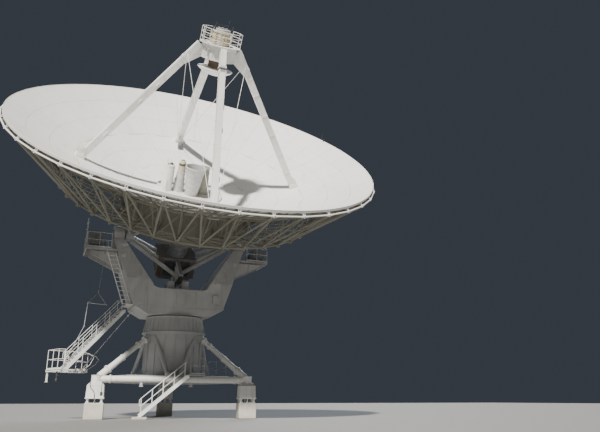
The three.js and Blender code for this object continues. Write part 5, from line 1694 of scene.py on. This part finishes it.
@dataclass
class TiltingCore:
    """Vertex room, counterweight, gear sector and trunnions."""

    room_radius: float = 1.75
    room_bottom: float = 0.9
    neck: float = 0.72
    half_x: float = 1.4
    front: float = -0.8
    back: float = 1.5
    weight_top: float = -1.1
    weight_bottom: float = -3.0
    gear: float = 3.48
    teeth: int = 110
    span: float = 128.0

    def room(self) -> None:
        """The round vertex room with its ribs and its neck to the counterweight."""
        m = Maker(DISH)
        r, z0, z1 = self.room_radius, self.room_bottom, surface(0) - 0.1
        m.lathe([(0, z0), (r - 0.03, z0), (r, z0 + 0.03), (r, 1.7), (r + 0.006, 1.705), (r + 0.006, 1.735), (r, 1.74),
                 (r, 2.7), (r + 0.006, 2.705), (r + 0.006, 2.735), (r, 2.74), (r, z1 - 0.02), (r - 0.02, z1),
                 (0, z1)], 72)
        for out in spokes(20, 0.5):
            m.fin(out, 0.01, [(r - 0.02, z0 + 0.06), (r + 0.045, z0 + 0.12), (r + 0.045, z1 - 0.15),
                              (r - 0.02, z1 - 0.06)])
        # The neck and its fins take the dark cabinet paint as painted shade.
        m.ink = 1
        m.lathe([(0, self.weight_top + 0.0005), (self.neck, self.weight_top + 0.0005), (self.neck, z0), (0, z0)], 40)
        m.lathe([(self.neck + out, z) for out, z in ((-0.01, -0.05), (0.06, -0.04), (0.06, 0.04), (-0.01, 0.05))], 40,
                closed=True)
        for out in spokes(12):
            m.fin(out, 0.012, [(self.neck - 0.01, 0.2), (r - 0.25, z0 + 0.01), (self.neck - 0.01, z0 + 0.01)])
        m.build("vertex_room_shell", [WHITE, CABINET], Body.DISH, "white_paint", ["vertex_room"])

    def weight(self) -> None:
        """The counterweight box with its slabs, straps, louvres and rails."""
        m = Maker(DISH)
        x, y0, y1, top, low, slot = self.half_x, self.front, self.back, self.weight_top, self.weight_bottom, 0.166
        for a, b in ((-x + 0.2, -slot), (slot, x - 0.2)):
            m.box((a, y0 + 0.25, low), (b, y1 - 0.62, low + 0.31), 0.02)
        layers = 6
        for i in range(layers):
            z0, z1 = (low + 0.3 + (top - low - 0.3) * k / layers for k in (i, i + 1))
            for a, b in ((-x, -slot), (slot, x)) if z0 < low + 0.5 else ((-x, x),):
                m.box((a, y0, z0), (b, y1, z1 - 0.014), 0.012)
        m.box((-x + 0.015, y0 + 0.015, low + 0.52), (x - 0.015, y1 - 0.015, top - 0.004))
        for s, y in product((-1, 1), (-0.5, 0.35, 1.2)):
            m.bar((s * (x - 0.003), y, low + 0.32), (s * (x - 0.003), y, top - 0.01), 0.07, 0.01, ALONG)
        for k in (-0.9, -0.3, 0.3, 0.9):
            m.bar((k, y1 - 0.003, low + 0.32), (k, y1 - 0.003, top - 0.01), 0.07, 0.01)
        # The near-black panel with louvres across the front stands in for deep shade there: painted shade.
        m.ink = 1
        m.box((-0.95, y0 - 0.004, low + 0.42), (0.95, y0 + 0.01, top - 0.22), 0.002)
        for k in range(25):
            spot = -0.9 + 0.075 * k
            m.bar((spot, y0 - 0.012, low + 0.45), (spot, y0 - 0.012, top - 0.25), 0.03, 0.02, ACROSS, 0.004)
        m.ink = 2
        m.bar((-1.2, y0 - 0.008, low + 0.34), (-1.2, y0 - 0.008, top - 0.02), 0.36, 0.016, ACROSS, 0.004)
        for z in (low + 0.6, -1.9, top - 0.3):
            m.bar((-x - 0.002, -0.3, z), (-x - 0.002, 1.1, z), 0.1, 0.012, UP, 0.003)
        m.build("counterweight_slabs", [WEIGHT_SHADE, DARK, BROWN], Body.DISH, "grey_paint", ["counterweight"])

    def sector(self) -> None:
        """The toothed gear sector under the counterweight, with its beams."""
        m = Maker(DISH)
        inner, root, tip = self.gear - 0.33, self.gear - 0.055, self.gear - 0.004
        span = radians(self.span)
        step = span / self.teeth
        flanks = ((0.1, root), (0.3, tip), (0.55, tip), (0.75, root))
        teeth = [(-span / 2 + step * (i + share), r) for i in range(self.teeth) for share, r in flanks]
        last = len(teeth) - 1
        self.band(m, -0.11, 0.11, teeth, [(-span / 2 + span * round(i * 64 / last) / 64, inner)
                                          for i in range(last + 1)])
        arc = [-span / 2 + span * i / 48 for i in range(49)]
        for x in (-0.14, 0.11):
            self.band(m, x, x + 0.03, [(angle, self.gear - 0.1) for angle in arc], [(angle, inner) for angle in arc])
        m.ink = 1
        for s, face in ((-1, self.front - 0.0005), (1, self.back + 0.0005)):
            m.section(i_beam(0.25, 0.24, 0.02), (0, s * 2.95, -1.35), (0, face, -1.35))
            m.plate([(-0.012, s * y, z) for y, z in ((2.9, -1.2), (2.45, -1.25), (2.55, -1.75), (2.8, -1.75))],
                    ACROSS * 0.024)
        m.section(i_beam(0.24, 0.24, 0.02), (0, -1.82, -2.75), (0, -0.93, -1.7), ACROSS)
        m.box((-0.12, -1.08, -1.9), (0.12, self.front - 0.0005, -1.62))
        m.box((-0.12, -1, self.weight_bottom - 0.32), (0.12, 1, self.weight_bottom + 0.48))
        m.build("elevation_gear_sector", [GREASED, GREY], Body.DISH, "dark_steel", ["elevation_gear"])

    @staticmethod
    def band(m: Maker, x0: float, x1: float, outer: Sequence[Pair], inner: Sequence[Pair]) -> None:
        """A closed arc of rectangular section.

        Args:
            m: The piece that it goes into.
            x0: Where its first side lies.
            x1: Where its second side lies.
            outer: Its outer edge, as (angle from straight down, radius) pairs.
            inner: Its inner edge, in the same way.
        """
        m.skin([[vec(x, r * sin(angle), -r * cos(angle)) for x, (angle, r) in ((x0, a), (x1, a), (x1, b), (x0, b))]
                for a, b in zip(outer, inner)])

    def trunnion(self, name: str, side: int) -> None:
        """One trunnion: shaft, hub and the welded beams that fan out from it."""
        m = Maker(DISH @ Matrix.Diagonal((side, 1, 1, 1)))
        for x0, x1, radius in ((3.35, 3.9, 0.42), (3.35, 3.39, 0.46), (3.86, 3.9, 0.46), (3.8, 4.78, 0.25),
                               (4.28, 4.44, 0.254)):
            m.tube((x0, 0, 0), (x1, 0, 0), radius, 40)
        m.bolts((4.78, 0, 0), ACROSS, 0.17, 8, 0.02)
        m.bolts((3.9, 0, 0), ACROSS, 0.37, 14, 0.022)
        face = self.half_x + 0.0005
        for s, y in ((-1, -0.54), (1, 0.75)):
            start = vec(3.6, s * 0.12, -0.06)
            end = start + (vec(1.2, y, -1.45) - start) * ((3.6 - face - 0.08) / 2.4)
            for a, b, size, lead, cut in (
                    (start, end, 0.3, UP, 0.03), ((3.55, s * 0.12, 0.1), (4.3, s * 0.7, 2.15), 0.2, ACROSS, 0.02),
                    ((3.45, s * 0.1, 0.1), (1.66, s * 0.463, 1.39), 0.18, UP, 0.02)):
                m.bar(a, b, size, 0.28 if size == 0.3 else size, lead, cut)
            m.box((face, end.y - 0.19, end.z - 0.19), (face + 0.09, end.y + 0.19, end.z + 0.19))
            for a, b in product((-0.16, 0.16), repeat=2):
                m.bolt((face + 0.09, end.y + a, end.z + b), ACROSS, 0.016)
            m.box((4.1, s * 0.7 - 0.16, 2.13), (4.5, s * 0.7 + 0.16, 2.16), 0.005)
            m.bar((4.3, s * 0.7, 2.15), (4.6, s * 0.9, 2.4), 0.12, 0.12)
        m.plate([(3.75, -0.35, 0.25), (3.75, 0.35, 0.25), (3.95, 0.3, 0.9), (3.95, -0.3, 0.9)], ACROSS * 0.016)
        start = vec(3.5, -0.33, -0.25)
        end = start + (vec(0, -1.44, -2.2) - start) * (3.29 / 3.5)
        m.bar(start, end, 0.26, 0.2, UP, 0.02)
        m.box((0.1205, end.y - 0.11, end.z - 0.15), (0.24, end.y + 0.11, end.z + 0.15))
        m.build(f"trunnion_frame_{name}", [YOKE_SHADE_PAINT], Body.DISH, "white_paint", [f"trunnion_{name}"])

    def dress(self) -> None:
        """Builds the tilting core."""
        self.room()
        self.weight()
        self.sector()
        for name, side in SIDES:
            self.trunnion(name, side)


@dataclass
class Feeds:
    """The ring at the vertex and the four feeds that stand on it."""

    ring_radius: float = 2.35
    floor: float = 4.1203

    def ring(self) -> None:
        """The raised ring with its bolts, gussets and cover strips."""
        m = Maker(DISH)
        r, top = self.ring_radius, self.floor - 0.0003
        low = surface(r) + 0.002
        m.lathe([(0, top), (r - 0.03, top), (r, top - 0.02), (r, low), (r - 0.05, low - 0.002), (0, surface(0) + 0.01)],
                96)
        for out in spokes(24, 0.5):
            m.bolt(out * (r - 0.1) + UP * (top - 0.008), UP, 0.016)
            m.fin(out, 0.008, [(r - 0.02, low + 0.01), (r + 0.05, low + 0.02), (r - 0.02, top - 0.04)])
        for out in (radial(tau * i / 6 + 0.3) for i in range(6)):
            m.bar(out * 0.3 + UP * (top - 0.003), out * (r - 0.06) + UP * (top - 0.003), 0.05, 0.006)
        m.build("feed_ring_deck", [WHITE], Body.DISH, "white_paint", ["feed_ring"])

    def place(self, x: float, y: float) -> Matrix:
        """The frame of a feed: its foot on the ring."""
        return DISH @ Matrix.Translation(vec(x, y, self.floor))

    def cone(self, m: Maker, foot: Profile, hoops: Sequence[Pair], proud: float, half: float, ends: Pair, head: Profile,
             sides: int) -> None:
        """A round body with hoops.

        Args:
            m: The piece that it goes into.
            foot: The profile below the hoops.
            hoops: The (radius, height) of each hoop.
            proud: How far a hoop stands out.
            half: Half a hoop's height.
            ends: How far its two edges stand from the radius.
            head: The profile above the hoops.
            sides: How many sides a turn has.
        """
        middle = [point for r, z in hoops for point in ((r + ends[0], z - half), (r + proud, z - half + 0.004),
                                                        (r + proud, z + half - 0.004), (r + ends[1], z + half))]
        m.lathe([*foot, *middle, *head], sides)

    def big_horn(self) -> None:
        """The large horn with hoops, seams and a rolled lip."""
        m = Maker(self.place(-0.1, -0.95))
        h = 2.05
        hoops = [(0.43 + 0.26 * share, h * share) for share in (0.18, 0.36, 0.54, 0.72)]
        self.cone(m, [(0, 0), (0.47, 0), (0.47, 0.05), (0.43, 0.055)], hoops, 0.016, 0.022, (0, 0.003),
                  [(0.685, h - 0.09), (0.73, h - 0.08), (0.73, h - 0.012), (0.72, h), (0.66, h), (0.655, h - 0.012),
                   (0.6, h - 0.5), (0.5, h - 1.2), (0, h - 1.25)], 64)
        for out in spokes(16):
            m.bolt(out * 0.452 + UP * 0.045, UP, 0.012)
            m.bolt(out * 0.712 + UP * (h - 0.1), UP, 0.01)
        for out in (radial(angle) for angle in (0.4, 2.4, 4.5)):
            m.bar(out * 0.435 + UP * 0.06, out * 0.684 + UP * (h - 0.1), 0.02, 0.035, out)
        m.build("large_horn_cone", [GREY], Body.DISH, "grey_paint", ["large_horn"])

    def small_horn(self) -> None:
        """The rear horn, a stepped and hooped cone."""
        m = Maker(self.place(0.7, -0.2))
        h = 1.9
        hoops = [(0.52 - 0.18 * share, h * share) for share in (0.2, 0.4, 0.6, 0.8)]
        self.cone(m, [(0, 0), (0.56, 0), (0.56, 0.06), (0.52, 0.07)], hoops, 0.016, 0.02, (0.002, 0),
                  [(0.345, h - 0.06), (0.385, h - 0.055), (0.385, h - 0.01), (0.375, h), (0, h)], 56)
        for out in spokes(12):
            m.bolt(out * 0.54 + UP * 0.06, UP, 0.012)
        # The rear horn takes the truss paint, darkened as painted shade.
        m.build("rear_horn_cone", [TRUSS_SHADE], Body.DISH, "grey_paint", ["rear_horn"])

    def receiver(self) -> None:
        """The receiver body with its canister, bracket and cables."""
        m = Maker(self.place(-0.95, -0.45))
        h = 1.45
        hoops = [(0.4 - 0.13 * share, h * share) for share in (0.3, 0.6)]
        self.cone(m, [(0, 0), (0.425, 0), (0.425, 0.05), (0.396, 0.055)], hoops, 0.012, 0.02, (-0.002, -0.004),
                  [(0.276, h - 0.05), (0.3, h - 0.045), (0.3, h - 0.005), (0.26, h), (0, h)], 48)
        for out in spokes(10):
            m.bolt(out * 0.41 + UP * 0.045, UP, 0.012)
        m.ink = 1
        x = -0.01
        m.lathe([(0, h), (0.21, h), (0.23, h + 0.02), (0.23, h + 0.2), (0.238, h + 0.205), (0.238, h + 0.225),
                 (0.23, h + 0.23), (0.23, 2.1), (0.2, 2.2), (0.11, 2.24), (0.11, 2.3), (0, 2.3)], 40, x)
        for a, b in ((0.23, 0), (-0.21, 0.1)):
            m.box((a - 0.05, b - 0.2, 1.62), (a + 0.05, b - 0.06, 1.85), 0.008)
        m.ink = 2
        m.box((-0.05, -0.07, 1.9), (0.25, 0.07, 2.02))
        m.lathe([(0.225, 1.88), (0.242, 1.885), (0.242, 2.035), (0.225, 2.04)], 40, x, closed=True)
        m.lathe([(0.1, 2.25), (0.125, 2.255), (0.125, 2.29), (0.1, 2.295)], 30, x, closed=True)
        m.tube((0.23, 0, 1.96), (0.23, 0, 1.2), 0.018, 8)
        m.path([(0.23, 0, 1.25), (0.33, 0.09, 0.9), (0.39, 0.25, 0.4), (0.4, 0.35, 0.02)], 0.014)
        m.box((-0.345, -0.09, 0.62), (-0.31, 0.09, 0.9), 0.006)
        m.build("receiver_body", [GREY, CREAM, DARK], Body.DISH, "grey_paint", ["receiver"])

    def box(self) -> None:
        """The white feed canister with hoops, a door and the fittings on its top."""
        m = Maker(self.place(-1.8, -0.5))
        h = 1.85
        hoops = [(0.4 - 0.06 * share, h * share) for share in (0.35, 0.7)]
        self.cone(m, [(0, 0), (0.43, 0), (0.43, 0.045), (0.397, 0.05)], hoops, 0.012, 0.018, (0, -0.001),
                  [(0.342, h - 0.05), (0.365, h - 0.045), (0.365, h - 0.006), (0.34, h), (0, h)], 56)
        for out in spokes(12):
            m.bolt(out * 0.414 + UP * 0.045, UP, 0.011)
        m.bar((-0.12, -0.372, 0.3), (-0.12, -0.36, 0.85), 0.24, 0.03, ALONG, 0.006)
        for spot in ((-0.2, -0.16), (-0.2, 0.16), (0.06, 0.2)):
            m.post(spot, h - 0.004, h + 0.34, 0.014, 8)
        m.box((-0.24, -0.2, h + 0.1), (-0.16, 0.2, h + 0.28), 0.006)
        m.ink = 1
        m.lathe([(0, -0.003), (0.11, -0.003), (0.11, 0.1), (0.09, 0.12), (0, 0.12)], 24, 0.08, z=h)
        for k in range(4):
            m.tube((-0.2, -0.16, h + 0.06 + k * 0.08), (-0.2, 0.16, h + 0.06 + k * 0.08), 0.01, 6)
        m.path([(0.08, 0, h + 0.11), (0.12, -0.1, h + 0.16), (0.2, -0.2, h + 0.08), (0.27, -0.28, h - 0.2),
                (0.31, -0.3, 0.9), (0.36, -0.34, 0.1)], 0.014)
        m.build("feed_box_shell", [BRIGHT, DARK], Body.DISH, "white_paint", ["feed_box"])

    def dress(self) -> None:
        """Builds the feeds."""
        self.ring()
        self.big_horn()
        self.small_horn()
        self.receiver()
        self.box()


@dataclass
class Quadrupod:
    """The four welded box legs with their feet, collars, ladder and stays."""

    low: tuple[float, float] = (7.7, 5.347)
    high: tuple[float, float] = (1.15, 14.58)
    wide: float = 0.38
    deep: float = 0.43
    cut: float = 14.495
    barrel: float = 1.1405

    def spot(self, share: float, out: float = 0, side: float = 0) -> Vector:
        """A point on the leg's line, pushed outward and sideways."""
        a, b = vec(self.low[0], 0, self.low[1]), vec(self.high[0], 0, self.high[1])
        way = (b - a).normalized()
        return a + (b - a) * share + vec(way.z, 0, -way.x) * out + vec(0, side, 0)

    def leg(self, name: str, turn: int, base: bool) -> None:
        """One leg."""
        m = Maker(DISH @ about_z(turn))
        origin = self.spot(0)
        way = (self.spot(1) - origin).normalized()
        normal = vec(way.z, 0, -way.x)
        foot_z = surface(7.7) - 0.1
        rings: tuple[list[Vector], list[Vector]] = ([], [])
        for px, py in chamfered(self.wide, self.deep, 0.012):
            line = origin + ALONG * px + normal * py
            rings[0].append(line + way * ((foot_z - line.z) / way.z))
            rings[1].append(line + way * min((self.cut - line.z) / way.z, (line.x - self.barrel - 0.02) / -way.x))
        m.skin(rings)
        bands = [(share - 0.0012, share + 0.0012, 0.012, 0.014) for share in (0.13, 0.27, 0.41, 0.55, 0.69, 0.8)]
        for low, high, proud, cut in (*bands, (0.835, 0.852, 0.05, 0.02), (0.862, 0.875, 0.05, 0.02)):
            m.bar(self.spot(low), self.spot(high), self.wide + proud, self.deep + proud, normal, cut)
        for share in (0.2, 0.48, 0.62):
            m.bar(self.spot(share, 0, self.wide / 2), self.spot(share + 0.03, 0, self.wide / 2), 0.006, 0.2, normal,
                  0.002)
        z = surface(7.7)
        m.box((7.37, -0.33, z - 0.1), (8.03, 0.33, z + 0.16), 0.02)
        m.box((7.42, -0.28, z + 0.14), (7.98, 0.28, z + 0.27), 0.02)
        for s in (-1, 1):
            shape = ((7.44, 0.15), (7.96, 0.15), (7.66, 0.62), (7.32, 0.7))
            m.plate([(x, s * 0.2 - 0.01, z + lift) for x, lift in shape], ALONG * 0.02)
            for x in (7.43, 7.7, 7.97):
                m.bolt((x, s * 0.29, z + 0.15), UP, 0.022)
        inner = self.spot(0.83, -self.deep / 2 + 0.03)
        web = [vec(self.barrel, 0, 13.615), vec(self.barrel, 0, 14.43), self.spot(0.985) - vec(0.02, 0, 0.1),
               self.spot(0.83), inner]
        m.plate([p - ALONG * 0.03 for p in web], ALONG * 0.06)
        m.bar((self.barrel, 0, 13.625), inner, 0.2, 0.02, UP, 0.002)
        m.ink = 1 if base else 0
        m.bar(self.spot(0.852), self.spot(0.862), self.wide + 0.09, self.deep + 0.09, normal, 0.02)
        m.build(f"quadrupod_{name}_box", [BRIGHT, DARK], Body.DISH, "white_paint", [f"quadrupod_leg_{name}"])

    def ladder(self) -> None:
        """The ladder up the upper leg, with its brackets and a cable bundle."""
        m = Maker(DISH @ about_z(90))
        face = self.wide / 2
        side, low, high, count = face + 0.06, 0.055, 0.83, 30
        for offset in (-0.19, 0.17):
            m.bar(self.spot(low, offset, side), self.spot(high, offset, side), 0.04, 0.025, ALONG, 0.004)
        for i in range(count):
            share = low + (high - low) * (i + 0.5) / count
            m.tube(self.spot(share, -0.19, side), self.spot(share, 0.17, side), 0.013, 6)
        for share, offset in product((0.1, 0.3, 0.5, 0.7, 0.82), (-0.15, 0.13)):
            m.bar(self.spot(share, offset, face - 0.002), self.spot(share, offset, side), 0.03, 0.03, UP, 0.003)
        for offset in (-0.1, -0.05, 0):
            m.path([self.spot(s, offset, -face - 0.018) for s in (0.03, 0.2, 0.4, 0.6, 0.8, 0.86)], 0.014)
        m.ink = 1
        z = surface(7.0)
        m.box((6.55, -0.17, z - 0.1), (6.95, 0.17, z + 0.28), 0.02)
        m.path([(6.6, 0, z + 0.27), (6.5, 0.05, z + 0.6), (6.75, 0.1, z + 0.95), self.spot(0.05, -0.2, 0.1)], 0.02)
        m.build("leg_ladder", [BRIGHT, CABINET], Body.DISH, "white_paint")

    def stays(self) -> None:
        """Four taut stays from the side legs' collars to the upper and lower feet."""
        m = Maker(DISH)
        for sx, sy in product((-1, 1), repeat=2):
            a, b = vec(sx * 2, sy * 0.16, VERTEX_Z + 9.75), vec(sx * 0.14, sy * 7.5, surface(7.7) + 0.16)
            way = (b - a).normalized()
            for start, end, radius, sides in ((a, b, 0.016, 8), (a + way * 0.05, a + way * 0.32, 0.034, 10),
                                              (b - way * 0.5, b - way * 0.08, 0.034, 10),
                                              (b - way * 0.62, b - way * 0.5, 0.022, 8)):
                m.tube(start, end, radius, sides)
        m.build("quadrupod_stays", [BRIGHT], Body.DISH, "galvanised")

    def dress(self) -> None:
        """Builds the quadrupod."""
        for name, turn in (("right", 0), ("upper", 90), ("left", 180), ("lower", 270)):
            self.leg(name, turn, name == "lower")
        self.ladder()
        self.stays()


@dataclass
class Apex:
    """The barrel at the quadrupod's top, its cage, equipment, drum and subreflector."""

    radius: float = 1.18
    low: float = 13.55
    top: float = 14.5
    sides: int = 12
    drum_low: float = 13.015
    mirror_z: float = 12.95

    def barrel(self) -> None:
        """The twelve-sided barrel with upright joints, lips and hatches."""
        m = Maker(DISH)
        r, low, top = self.radius, self.low, self.top
        m.skin([[out * radius + UP * z for out in spokes(self.sides)] for radius, z in (
            (0.395, low + 0.38), (0.395, low), (r - 0.02, low), (r, low + 0.02), (r, low + 0.06),
            (r - 0.012, low + 0.065), (r - 0.012, top - 0.06), (r, top - 0.055), (r, top - 0.01), (r - 0.01, top),
            (0.0001, top))], caps=False)
        for out in spokes(self.sides):
            m.bar(out * (r - 0.013) + UP * (low + 0.03), out * (r - 0.013) + UP * (top - 0.03), 0.05, 0.016, out, 0.003)
        flat = (r - 0.012) * cos(pi / self.sides)
        for i, face in enumerate(spokes(self.sides, 0.5)):
            if i % 3 == 2:
                continue
            m.bar(face * (flat - 0.002) + UP * (low + 0.2), face * (flat - 0.002) + UP * (top - 0.2), 0.4, 0.014, face,
                  0.004)
            for side, z in product((-0.17, 0.17), (low + 0.24, top - 0.24)):
                m.bolt(face * (flat + 0.004) + vec(-face.y, face.x, 0) * side + UP * z, face, 0.012)
        m.build("apex_barrel_shell", [BRIGHT], Body.DISH, "white_paint", ["apex_barrel"])

    def cage(self) -> None:
        """The three-rail cage on the barrel, on its edge plate."""
        m = Maker(DISH)
        m.lathe([(0, 0.0005), (1.38, 0.0005), (1.38, 0.06), (1.36, 0.06), (1.36, 0.03), (0, 0.03)], 12, z=self.top)
        spots = [out * 1.33 + UP * (self.top + 0.03) for out in spokes(12, 0.5)]
        for p in spots:
            m.tube(p, p + UP * 0.96, 0.022, 8)
            m.tube(p, p + UP * 0.05, 0.034, 8)
        for lift in (0.33, 0.64, 0.95):
            m.path([p + UP * lift for p in spots], 0.02, closed=True)
        m.build("apex_cage", [BRIGHT], Body.DISH, "white_paint", ["apex_railing"])

    def equipment(self) -> None:
        """The two-tier housing on the barrel's top with frame, boxes and whips."""
        m = Maker(DISH @ Matrix.Translation(UP * (self.top + 0.0603)))
        m.skin([[out * radius + UP * z for out in spokes(8, 0.5)] for radius, z in (
            (0.64, 0), (0.64, 0.03), (0.62, 0.035), (0.62, 0.36), (0.65, 0.365), (0.65, 0.4), (0.63, 0.405),
            (0.63, 0.74), (0.66, 0.745), (0.66, 0.77), (0.6, 0.78))])
        flat = 0.62 * cos(pi / 8)
        for face in spokes(8):
            for low, high, wide in ((0.08, 0.32, 0.3), (0.45, 0.7, 0.32)):
                m.bar(face * flat + UP * low, face * flat + UP * high, wide, 0.016, face, 0.004)
        m.ink = 1
        m.lathe([(0, 0.77), (0.46, 0.77), (0.48, 0.79), (0.48, 0.97), (0.45, 0.995), (0, 1)], 24)
        for k in (0.12, 0.33, 0.52):
            m.lathe([(0.64, k), (0.65, k + 0.01), (0.64, k + 0.02)], 8, closed=True)
        for angle in (0.4, 1.5, 2.6, 3.7, 4.9):
            spot = radial(angle) * 0.3
            m.box(spot + vec(-0.07, -0.07, 0.98), spot + vec(0.07, 0.07, 1.06), 0.006)
        m.ink = 2
        m.bar((-0.7, 0, 1.02), (0.7, 0, 1.02), 0.07, 0.05)
        m.bar((0, -0.45, 1.02), (0, 0.45, 1.02), 0.05, 0.04)
        for spot, reach in (((0.3, 0), 1.59), ((-0.55, 0), 1.4), ((0.62, 0), 1.32), ((-0.2, 0.02), 1.25)):
            m.post(spot, 1.02, reach, 0.012, 8)
            m.post(spot, 1.02, 1.15, 0.022, 8)
        m.path([(-0.55, 0, 1.3), (-0.3, 0, 1.22), (0, 0, 1.2), (0.3, 0, 1.26)], 0.01, 6)
        for x in (-0.66, 0.66):
            m.path([(x, 0, 1.02), (x, 0, 0.8), (x * 0.97, 0.1, 0.4), (x, 0.1, 0.02)], 0.016)
        m.build("apex_housing", [CREAM, GREY, DARK], Body.DISH, "cream_paint", ["apex_equipment"])

    def drum(self) -> None:
        """The brown drum that slides in the barrel, with its stem."""
        m = Maker(DISH)
        m.lathe([(0, 0), (0.5, 0), (0.52, 0.02), (0.52, 0.09), (0.528, 0.095), (0.528, 0.13), (0.52, 0.135),
                 (0.52, 0.4), (0.528, 0.405), (0.528, 0.44), (0.52, 0.445), (0.52, 0.515), (0.5, 0.5345),
                 (0.385, 0.5345), (0.385, 0.855), (0.375, 0.87), (0, 0.87)], 48, z=self.drum_low)
        for out in spokes(12):
            m.bolt(out * 0.519 + UP * (self.drum_low + 0.27), out, 0.014)
        m.build("focus_drum_shell", [BROWN], Body.FOCUS, "brown_primer", ["focus_drum"])

    def mirror(self) -> None:
        """The subreflector: a smooth convex face, rolled rim and ribbed back."""
        m = Maker(DISH @ Matrix.Translation(UP * self.mirror_z))
        m.lathe([(0, 0.0645), (0.149, 0.0645), (0.15, 0.04), (0.9, 0.01), (1.15, 0), (1.175, -0.004), (1.18, -0.03),
                 (1.178, -0.058), (1.165, -0.07), (1.05,
                                                   -0.155), (0.9, -0.25), (0.7, -0.345), (0.5, -0.415), (0.3, -0.456),
                 (0.15, -0.474), (0, -0.48)], 72)
        for out in spokes(12, 0.5):
            m.fin(out, 0.008, [(0.16, 0.03), (1.14, -0.01), (1.12, 0.012), (0.16, 0.058)])
        m.build("subreflector_shell", [BRIGHT], Body.SUBREFLECTOR, "panel_white", ["subreflector"])

    def dress(self) -> None:
        """Builds the apex."""
        self.barrel()
        self.cage()
        self.equipment()
        self.drum()
        self.mirror()


@dataclass
class RimFittings:
    """Small fittings on the reflector's rim."""

    angle: float = 24.0

    def dress(self) -> None:
        """A bracket with a short whip on the right rim."""
        m = Maker(DISH)
        edge = surface(RIM)
        foot = polar(12.47, self.angle, edge - 0.02)
        out = polar(1, self.angle, 0)
        m.bar(foot - UP * 0.08, foot + UP * 0.16, 0.12, 0.03, out, 0.004)
        m.bar(foot + UP * 0.13, foot - out * 0.35 + UP * 0.2, 0.04, 0.04, UP, 0.004)
        m.tube(foot - out * 0.35 + UP * 0.18, foot - out * 0.35 + UP * 0.62, 0.012, 8)
        m.build("rim_bracket", [DARK], Body.DISH, "dark_steel")


@dataclass
class Stage:
    """Plain floor, soft lights and the camera of the photo."""

    half_floor: float = 160.0
    fill: float = 0.11
    sensor: float = 36.0
    focal: float = 607.0
    centre: tuple[float, float] = (300.0, 216.0)
    frame: tuple[int, int] = (600, 432)
    position: tuple[float, float, float] = (-9.12, AXIS_Y - 43.69, 1.2)
    pitch: float = 16.82
    heading: float = 23.39
    to_sun: tuple[float, float, float] = (-0.388, -0.679, 0.623)
    to_back: tuple[float, float, float] = (0.42, 0.80, 0.43)

    def floor(self) -> None:
        """A plain pale floor."""
        mesh = bpy.data.meshes.new("floor")
        size = self.half_floor
        mesh.from_pydata([(-size, -size, 0), (size, -size, 0), (size, size, 0), (-size, size, 0)], [], [(0, 1, 2, 3)])
        floor = bpy.data.objects.new("stage_floor", mesh)
        bpy.context.scene.collection.objects.link(floor)
        mesh.materials.append(material_of(FLOOR))

    def lights(self) -> None:
        """A warm key light from the front left, a soft light from behind and a cool even fill."""
        lamps = (("key_light", self.to_sun, 7.4, 2.5, (1, 0.955, 0.89)),
                 ("back_light", self.to_back, 1.7, 30.0, (0.86, 0.92, 1)))
        for name, way, energy, width, colour in lamps:
            light = bpy.data.lights.new(name, "SUN")
            light.energy = energy
            light.angle = radians(width)
            light.color = colour
            lamp = bpy.data.objects.new(name, light)
            lamp.rotation_euler = Vector(way).to_track_quat("Z", "Y").to_euler()
            bpy.context.scene.collection.objects.link(lamp)
        world = bpy.data.worlds.new("soft_fill")
        world.use_nodes = True
        fill = world.node_tree.nodes["Background"]
        fill.inputs["Color"].default_value = (0.36, 0.43, 0.54, 1)
        fill.inputs["Strength"].default_value = self.fill
        bpy.context.scene.world = world

    def camera(self) -> None:
        """The camera of the photo."""
        lens = bpy.data.cameras.new("photo_camera")
        lens.sensor_width = self.sensor
        lens.lens = self.focal / self.frame[0] * self.sensor
        lens.shift_x = (self.frame[0] / 2 - self.centre[0]) / self.frame[0]
        lens.shift_y = (self.centre[1] - self.frame[1] / 2) / self.frame[0]
        lens.clip_start = 0.1
        lens.clip_end = 400.0
        camera = bpy.data.objects.new("photo_camera", lens)
        camera.location = self.position
        pitch, heading = radians(self.pitch), radians(self.heading)
        way = vec(sin(heading) * cos(pitch), cos(heading) * cos(pitch), sin(pitch))
        camera.rotation_euler = way.to_track_quat("-Z", "Y").to_euler()
        bpy.context.scene.collection.objects.link(camera)
        bpy.context.scene.camera = camera

    def dress(self) -> None:
        """Sets the stage."""
        self.floor()
        self.lights()
        self.camera()


def main() -> None:
    """Builds every assembly on the frame and sets the stage."""
    logging.basicConfig(level=logging.INFO, format="%(message)s")
    frame_of = BaseFrame()
    yoke = Yoke()
    parts = (frame_of, Tower(frame_of), BaseDeck(), yoke, Platforms(yoke), HangingAccess(yoke), Reflector(),
             BackingTruss(),
             TiltingCore(), Feeds(), Quadrupod(), Apex(), RimFittings(), Stage())
    for part in parts:
        part.dress()
        log.info("built %s", type(part).__name__)
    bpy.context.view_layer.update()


if __name__ == "__main__":
    main()
